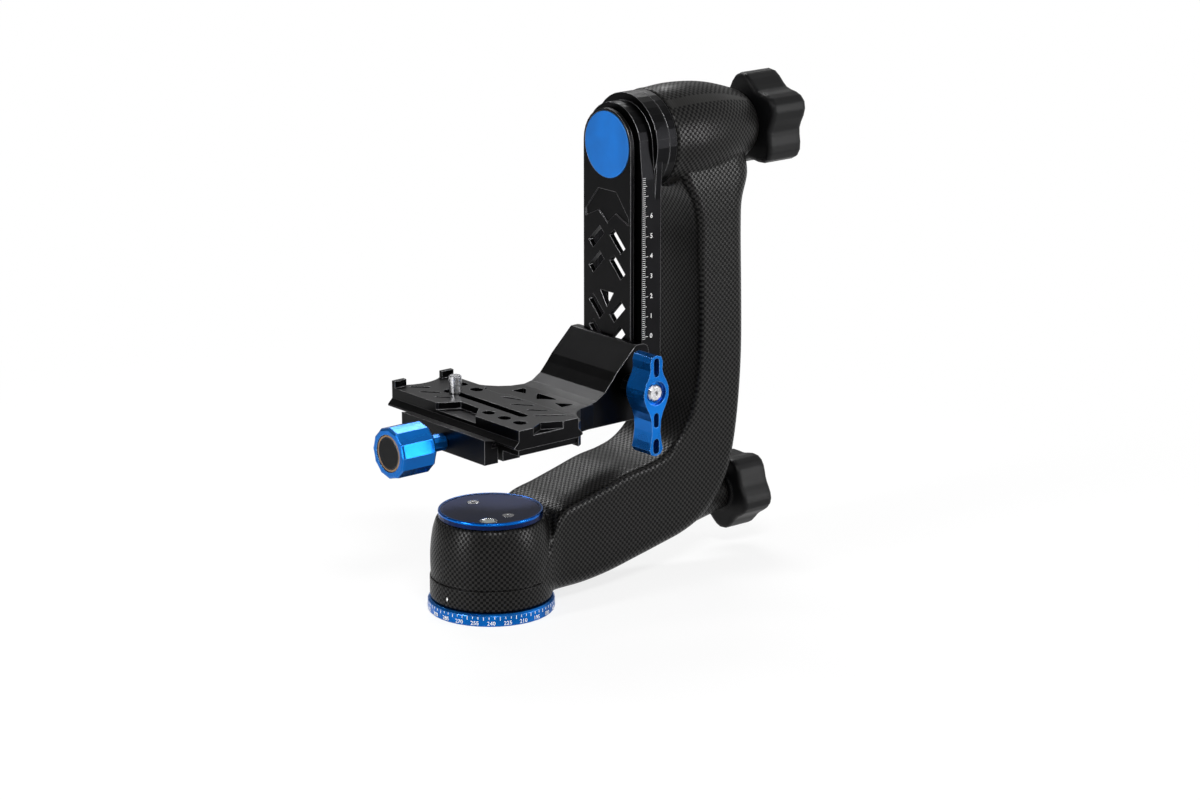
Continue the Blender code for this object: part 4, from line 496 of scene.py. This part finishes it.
def finish_nodes(finishes):
    """Give every node its finish."""
    for row in frame["record"]["subparts"]:
        name = row["node"]
        finish = "badge_blue" if name == "badge" else row["material_slot"]
        refinish(NODES[name], finishes[finish])


def linked(name, data):
    """A new object in the scene."""
    item = bpy.data.objects.new(name, data)
    bpy.context.scene.collection.objects.link(item)
    return item


def form_object(name, form):
    """Turn a form into an object of the scene."""
    data = bpy.data.meshes.new(name)
    form.to_mesh(data)
    form.free()
    return linked(name, data)


def solid_object(name, form):
    """Turn a closed form in millimetres into an object of the scene."""
    form.transform(Matrix.Scale(MM, 4))
    bmesh.ops.recalc_face_normals(form, faces=form.faces[:])
    return form_object(name, form)


def mesh_piece(name, form, finish, body):
    """Turn a form in millimetres into a piece of the visual model that rides on a body."""
    item = solid_object(name, form)
    item.data.materials.append(finish)
    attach(item, body)
    return item


def shade(item, sharp_angle):
    """Smooth shading with sharp edges kept from an angle on."""
    item.data.shade_smooth()
    item.data.set_sharp_from_angle(angle=math.radians(sharp_angle))


def catmull(before, start, end, after, share):
    """A point on the smooth curve through four neighbouring rows of numbers."""
    point = []
    for a, b, c, d in zip(before, start, end, after):
        rise = (c - a) * share + (2 * a - 5 * b + 4 * c - d) * share ** 2
        point.append(b + (rise + (3 * b - a - 3 * c + d) * share ** 3) / 2)
    return point


def smooth_rows(rows, steps):
    """Rows of numbers with smooth ones between them."""
    padded = [rows[0], *rows, rows[-1]]
    found = []
    for index in range(len(rows) - 1):
        for step in range(steps):
            found.append(catmull(*padded[index:index + 4], step / steps))
    return found + [list(rows[-1])]


def stitch(form, rings, closed=False):
    """Add faces from ring to ring, then a face over each end, or a strip back to the first ring."""
    for near, far in zip(rings, [*rings[1:], rings[0]] if closed else rings[1:]):
        for index, corner in enumerate(near):
            after = (index + 1) % len(near)
            form.faces.new((corner, near[after], far[after], far[index]))
    if not closed:
        form.faces.new(list(reversed(rings[0])))
        form.faces.new(rings[-1])


def turned_form(form, profile, centre=(0, 0, 0), along_x=False):
    """Add a closed turned body to a form: profile rows are (radius, place along the axis)."""
    rings = []
    for radius, along in ((POLE_RADIUS, profile[0][1]), *profile, (POLE_RADIUS, profile[-1][1])):
        ring = []
        for step in range(ROUND_STEPS):
            turn = 2 * math.pi * step / ROUND_STEPS
            across, up = radius * math.cos(turn), radius * math.sin(turn)
            place = (along, across, up) if along_x else (across, up, along)
            ring.append(form.verts.new(Vector(centre) + Vector(place)))
        rings.append(ring)
    stitch(form, rings)


def beam_form(form):
    """Add the C-shaped beam, lofted through its stations."""
    rise = TILT_HEIGHT - ARM_LOW
    rows = [(ix * ARM_REAR_X, ARM_LOW + iz * rise, ox * ARM_REAR_X, ARM_LOW + oz * rise,
             w * ARM_HALF_WIDTH, c * ARM_HALF_WIDTH) for ix, iz, ox, oz, w, c in STATION_SHARES]
    rings = []
    for inner_x, inner_z, outer_x, outer_z, width, rounding in smooth_rows(rows, STATION_STEPS):
        inner, outer = Vector((inner_x, 0, inner_z)), Vector((outer_x, 0, outer_z))
        middle, half = (inner + outer) / 2, (inner - outer).length / 2
        up, side = (inner - outer).normalized(), Vector((0, 1, 0))
        ring = []
        for quarter, (sign_w, sign_h) in enumerate(((1, 1), (-1, 1), (-1, -1), (1, -1))):
            corner = min(rounding * (INNER_CORNER_SHARE if sign_h > 0 else 1.0), CORNER_LIMIT * half)
            pivot = middle + side * sign_w * (width - corner) + up * sign_h * (half - corner)
            for step in range(CORNER_STEPS + 1):
                turn = math.pi / 2 * (quarter + step / CORNER_STEPS)
                ring.append(form.verts.new(pivot + (side * math.cos(turn) + up * math.sin(turn)) * corner))
        rings.append(ring)
    stitch(form, rings)


def groove_form(form):
    """Add the cutter of the groove round the cup's foot, on the side away from the beam."""
    low, high = COLLAR_TOP - GROOVE_WIDTH, COLLAR_TOP
    inner, outer = COLLAR_RADIUS - GROOVE_DEPTH, COLLAR_RADIUS + OVERCUT
    rings = []
    for degrees in range(GROOVE_TURNS[0], GROOVE_TURNS[1] + 1, GROOVE_STEP):
        turn = math.radians(degrees)
        rings.append([form.verts.new((radius * math.cos(turn), radius * math.sin(turn), z))
                      for radius, z in ((inner, low), (outer, low), (outer, high), (inner, high))])
    stitch(form, rings)


def box_form(form, low, high, turn=Matrix()):
    """Add a box between two corners, turned afterwards."""
    made = bmesh.ops.create_cube(form, size=1)["verts"]
    low, high = Vector(low), Vector(high)
    place = Matrix.Translation((low + high) / 2) @ Matrix.Diagonal((*(high - low), 1))
    bmesh.ops.transform(form, verts=made, matrix=turn @ place)


def text_form(form, words, height, matrix):
    """Add flat lettering with a little depth, standing on its middle."""
    data = bpy.data.curves.new("lettering", "FONT")
    data.body = words
    data.size = height
    data.extrude = MARK_DEPTH
    data.resolution_u = LETTER_STEPS
    data.align_x = "CENTER"
    data.align_y = "CENTER"
    item = linked("lettering", data)
    depsgraph = bpy.context.evaluated_depsgraph_get()
    mesh = bpy.data.meshes.new_from_object(item.evaluated_get(depsgraph))
    bpy.data.objects.remove(item)
    mesh.transform(matrix)
    form.from_mesh(mesh)
    bpy.data.meshes.remove(mesh)


def applied(item):
    """Replace an object's mesh by what its modifiers make of it."""
    depsgraph = bpy.context.evaluated_depsgraph_get()
    made = bpy.data.meshes.new_from_object(item.evaluated_get(depsgraph))
    item.modifiers.clear()
    item.data = made


def with_step(item, operation, add, *details):
    """Join or cut an object with a form, which is deleted afterwards."""
    form = bmesh.new()
    add(form, *details)
    other = solid_object("step", form)
    step = item.modifiers.new("step", "BOOLEAN")
    step.operation = operation
    step.solver = "EXACT"
    step.object = other
    applied(item)
    bpy.data.objects.remove(other)


def cup_profile():
    """The cup's outside from its top to its foot."""
    swell = CUP_TOP - COLLAR_TOP - EDGE_ROUND
    side = [(CUP_RIM_RADIUS + (CUP_RADIUS - CUP_RIM_RADIUS) * out, CUP_TOP - EDGE_ROUND - swell * down)
            for out, down in smooth_rows(CUP_SHARES, CUP_STEPS)]
    return [(CUP_RIM_RADIUS - EDGE_ROUND, CUP_TOP), *side,
            (COLLAR_RADIUS, COLLAR_TOP - EDGE_ROUND / 2), (COLLAR_RADIUS, ARM_LOW + EDGE_ROUND),
            (COLLAR_RADIUS - EDGE_ROUND, ARM_LOW)]


def barrel_profile():
    """The barrel's outside from its rear to its front."""
    span, fall = BARREL_REAR_X - BARREL_FRONT_X, BARREL_RADIUS - BARREL_REAR_RADIUS
    side = [(BARREL_RADIUS - fall * inward, BARREL_FRONT_X + span * along)
            for inward, along in smooth_rows(BARREL_SHARES, BARREL_STEPS)]
    lip = side[-1][0]
    return [*side, (lip, BARREL_FRONT_X + EDGE_ROUND), (lip - EDGE_ROUND, BARREL_FRONT_X)]


def smooth_arm(finish):
    """The arm in one smooth moulding: beam, cup, barrel and boss blended, then bored."""
    form = bmesh.new()
    beam_form(form)
    arm = solid_object("arm_moulding", form)
    boss = [(PAN_BOSS_RADIUS, PAN_BOSS_END_X), (PAN_BOSS_ROOT_RADIUS, PAN_BOSS_END_X - BOSS_LENGTH)]
    with_step(arm, "UNION", turned_form, cup_profile())
    with_step(arm, "UNION", turned_form, barrel_profile(), TILT_AXIS, True)
    with_step(arm, "UNION", turned_form, boss, PAN_LOCK_AXIS, True)
    even = arm.modifiers.new("even", "REMESH")
    even.mode = "VOXEL"
    even.voxel_size = VOXEL * MM
    blend = arm.modifiers.new("blend", "SMOOTH")
    blend.iterations = BLEND_TURNS
    blend.factor = BLEND_FACTOR
    applied(arm)
    sleeve_bore = [(SLEEVE_BORE_RADIUS, BARREL_FRONT_X - OVERCUT), (SLEEVE_BORE_RADIUS, SLEEVE_BORE_END),
                   (LOCK_BORE_RADIUS, SLEEVE_BORE_END), (LOCK_BORE_RADIUS, BARREL_REAR_X + OVERCUT)]
    pan_bore = [(LOCK_BORE_RADIUS, 0), (LOCK_BORE_RADIUS, PAN_BOSS_END_X + OVERCUT)]
    cavity = [(CAVITY_RADIUS, ARM_LOW - OVERCUT), (CAVITY_RADIUS, CUP_TOP + OVERCUT)]
    with_step(arm, "DIFFERENCE", turned_form, sleeve_bore, TILT_AXIS, True)
    with_step(arm, "DIFFERENCE", turned_form, pan_bore, PAN_LOCK_AXIS, True)
    with_step(arm, "DIFFERENCE", turned_form, cavity)
    with_step(arm, "DIFFERENCE", groove_form)
    arm.data.name = "arm_moulding"
    refinish(arm, finish)
    shade(arm, ARM_SHARP_ANGLE)
    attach(arm, "arm")
    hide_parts("arm_shell")


def thin_web(finish):
    """The swing arm with its back pocket milled to a thin web, so that its windows show through."""
    solid = NODES["swing_arm"]
    item = linked("swing_arm_milled", solid.data.copy())
    item.matrix_world = solid.matrix_world.copy()
    with_step(item, "DIFFERENCE", box_form, *WEB_POCKET)
    refinish(item, finish)
    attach(item, "cradle")
    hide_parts("swing_arm")


def cap_rim(finish):
    """The bright chamfer round the cap's top."""
    cap = NODES["top_cap"]
    corners = [cap.matrix_world @ Vector(corner) for corner in cap.bound_box]
    outer = max(corner.x for corner in corners) / MM
    top = max(corner.z for corner in corners) / MM
    form = bmesh.new()
    rings = []
    for past_radius, past_top in CAP_RIM_SECTION:
        radius = outer + past_radius
        turns = (2 * math.pi * step / ROUND_STEPS for step in range(ROUND_STEPS))
        rings.append([form.verts.new((radius * math.cos(turn), radius * math.sin(turn), top + past_top))
                      for turn in turns])
    stitch(form, rings, closed=True)
    shade(mesh_piece("cap_rim", form, finish, "arm"), RIM_SHARP_ANGLE)


def ruler_marks(finish):
    """Millimetre ticks and centimetre numbers up the swing arm's side."""
    form = bmesh.new()
    for step in range(-1, int(RULER_TOP_Z - RULER_ZERO_Z) + 1):
        length = next(size for every, size in RULER_TICKS if step % every == 0)
        z = RULER_ZERO_Z + step
        box_form(form, (RULER_X, RULER_FACE_Y - MARK_DEPTH, z - RULER_TICK_WIDTH / 2),
                 (RULER_X + length, RULER_FACE_Y + MARK_DEPTH, z + RULER_TICK_WIDTH / 2))
    upright = Matrix.Rotation(math.radians(90.0), 4, "X")
    for number in range(RULER_NUMBERS):
        z = RULER_ZERO_Z + RULER_NUMBER_STEP * number
        place = Matrix.Translation((RULER_X + RULER_NUMBER_OFFSET, RULER_FACE_Y, z))
        text_form(form, str(number), RULER_NUMBER_HEIGHT, place @ upright)
    mesh_piece("ruler_marks", form, finish, "cradle")


def ring_marks(finish):
    """Degree ticks round the blue ring with a number at every third one."""
    form = bmesh.new()
    for angle in range(0, 360, RING_STEP):
        tall = RING_LONG_TICK if angle % RING_LABEL_STEP == 0 else RING_SHORT_TICK
        box_form(form, (RING_RADIUS - MARK_DEPTH, -RING_TICK_HALF_WIDTH, RING_TICK_TOP - tall),
                 (RING_RADIUS + MARK_DEPTH, RING_TICK_HALF_WIDTH, RING_TICK_TOP),
                 Matrix.Rotation(math.radians(angle), 4, "Z"))
    upright = Matrix.Rotation(math.radians(90.0), 4, "Z") @ Matrix.Rotation(math.radians(90.0), 4, "X")
    place = Matrix.Translation((RING_RADIUS + RING_LABEL_LIFT, 0, RING_LABEL_Z)) @ upright
    for number in range(0, 360, RING_LABEL_STEP):
        turn = Matrix.Rotation(math.radians(RING_LABEL_TURN - number), 4, "Z")
        text_form(form, str(number), RING_LABEL_HEIGHT, turn @ place)
    mesh_piece("ring_marks", form, finish, "base")


def index_mark(finish):
    """The diamond over the degree scale, where the pan angle is read."""
    form = bmesh.new()
    turn = math.radians(RING_LABEL_TURN - INDEX_DEGREES)
    corners = ((0.0, INDEX_HALF_HEIGHT), (INDEX_HALF_WIDTH, 0.0),
               (0.0, -INDEX_HALF_HEIGHT), (-INDEX_HALF_WIDTH, 0.0))
    rings = []
    for depth in (-MARK_DEPTH, MARK_DEPTH):
        radius = COLLAR_RADIUS + INDEX_LIFT + depth
        rings.append([form.verts.new((radius * math.cos(turn) - across * math.sin(turn),
                                      radius * math.sin(turn) + across * math.cos(turn), INDEX_Z + up))
                      for across, up in corners])
    stitch(form, rings)
    mesh_piece("index_mark", form, finish, "arm")


def camera():
    """The photograph's camera."""
    data = bpy.data.cameras.new("camera")
    item = linked("camera", data)
    turn, lift = math.radians(CAMERA_AZIMUTH), math.radians(CAMERA_ELEVATION)
    back = Vector((math.sin(turn) * math.cos(lift), -math.cos(turn) * math.cos(lift), math.sin(lift)))
    item.location = CAMERA_PLACE
    item.rotation_euler = (-back).to_track_quat("-Z", "Y").to_euler()
    data.sensor_width = SENSOR_WIDTH
    data.lens = CAMERA_LENS
    data.clip_start = CLIP_START
    data.clip_end = CLIP_END
    bpy.context.scene.camera = item


def white_where_seen(nodes, links, place, reach):
    """White to the eye and through glass; in glints white on the lit side and dimmer on the other."""
    path = nodes.new("ShaderNodeLightPath")
    side = nodes.new("ShaderNodeVectorMath")
    side.operation = "DOT_PRODUCT"
    links.new(place, side.inputs[0])
    side.inputs[1].default_value = LIT_SIDE
    dim, lit = (share * reach for share in LIT_SPAN)
    fade = smooth_spread(nodes, links, side.outputs["Value"], dim, lit, DIM_SHARE, 1.0)
    glint = math_node(nodes, links, "MULTIPLY", path.outputs["Is Glossy Ray"], fade)
    seen = math_node(nodes, links, "MAXIMUM", path.outputs["Is Camera Ray"],
                     path.outputs["Is Transmission Ray"])
    return math_node(nodes, links, "MAXIMUM", seen, glint)


def world():
    """An even pale surrounding that shows as white."""
    made = bpy.data.worlds.new("surround")
    bpy.context.scene.world = made
    made.use_nodes = True
    nodes, links = made.node_tree.nodes, made.node_tree.links
    back = nodes["Background"]
    back.inputs["Color"].default_value = (1.0, 1.0, 1.0, 1.0)
    seen = white_where_seen(nodes, links, nodes.new("ShaderNodeTexCoord").outputs["Generated"], 1.0)
    links.new(math_node(nodes, links, "MAXIMUM", seen, WORLD_STRENGTH), back.inputs["Strength"])


def floor():
    """A plain pale floor that keeps the shadow and fades to white away from the head."""
    form = bmesh.new()
    bmesh.ops.create_grid(form, x_segments=1, y_segments=1, size=FLOOR_HALF_SIZE)
    item = form_object("floor", form)
    made, nodes, links, shader = new_material("floor")
    shader.inputs["Base Color"].default_value = (*FLOOR_WHITE, 1.0)
    shader.inputs["Roughness"].default_value = FLOOR_ROUGHNESS
    glow = nodes.new("ShaderNodeEmission")
    glow.inputs["Strength"].default_value = 1.0
    mix = nodes.new("ShaderNodeMixShader")
    place = nodes.new("ShaderNodeTexCoord").outputs["Object"]
    seen = white_where_seen(nodes, links, place, FLOOR_REACH)
    away = nodes.new("ShaderNodeVectorMath")
    away.operation = "LENGTH"
    links.new(place, away.inputs[0])
    fade = smooth_spread(nodes, links, away.outputs["Value"], *FLOOR_FADE, FLOOR_SHARE, 1.0)
    links.new(math_node(nodes, links, "MULTIPLY", seen, fade), mix.inputs["Fac"])
    links.new(shader.outputs["BSDF"], mix.inputs[1])
    links.new(glow.outputs["Emission"], mix.inputs[2])
    links.new(mix.outputs["Shader"], nodes["Material Output"].inputs["Surface"])
    item.data.materials.append(made)


def lamps():
    """Soft boxes left, right and above, as a product studio has them."""
    for name, place, size, power in LAMPS:
        data = bpy.data.lights.new(name, "AREA")
        data.shape = "RECTANGLE"
        data.size, data.size_y = size
        data.energy = power
        item = linked(name, data)
        item.location = place
        item.rotation_euler = (Vector(LAMP_TARGET) - Vector(place)).to_track_quat("-Z", "Y").to_euler()


def main():
    """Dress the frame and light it."""
    bpy.context.scene.view_settings.view_transform = "Standard"
    camera()
    world()
    floor()
    lamps()
    finishes = make_materials()
    finish_nodes(finishes)
    smooth_arm(finishes["carbon"])
    thin_web(finishes["black_metal"])
    cap_rim(finishes["rim_blue"])
    for marks in (ruler_marks, ring_marks, index_mark):
        marks(finishes["marking_white"])


main()
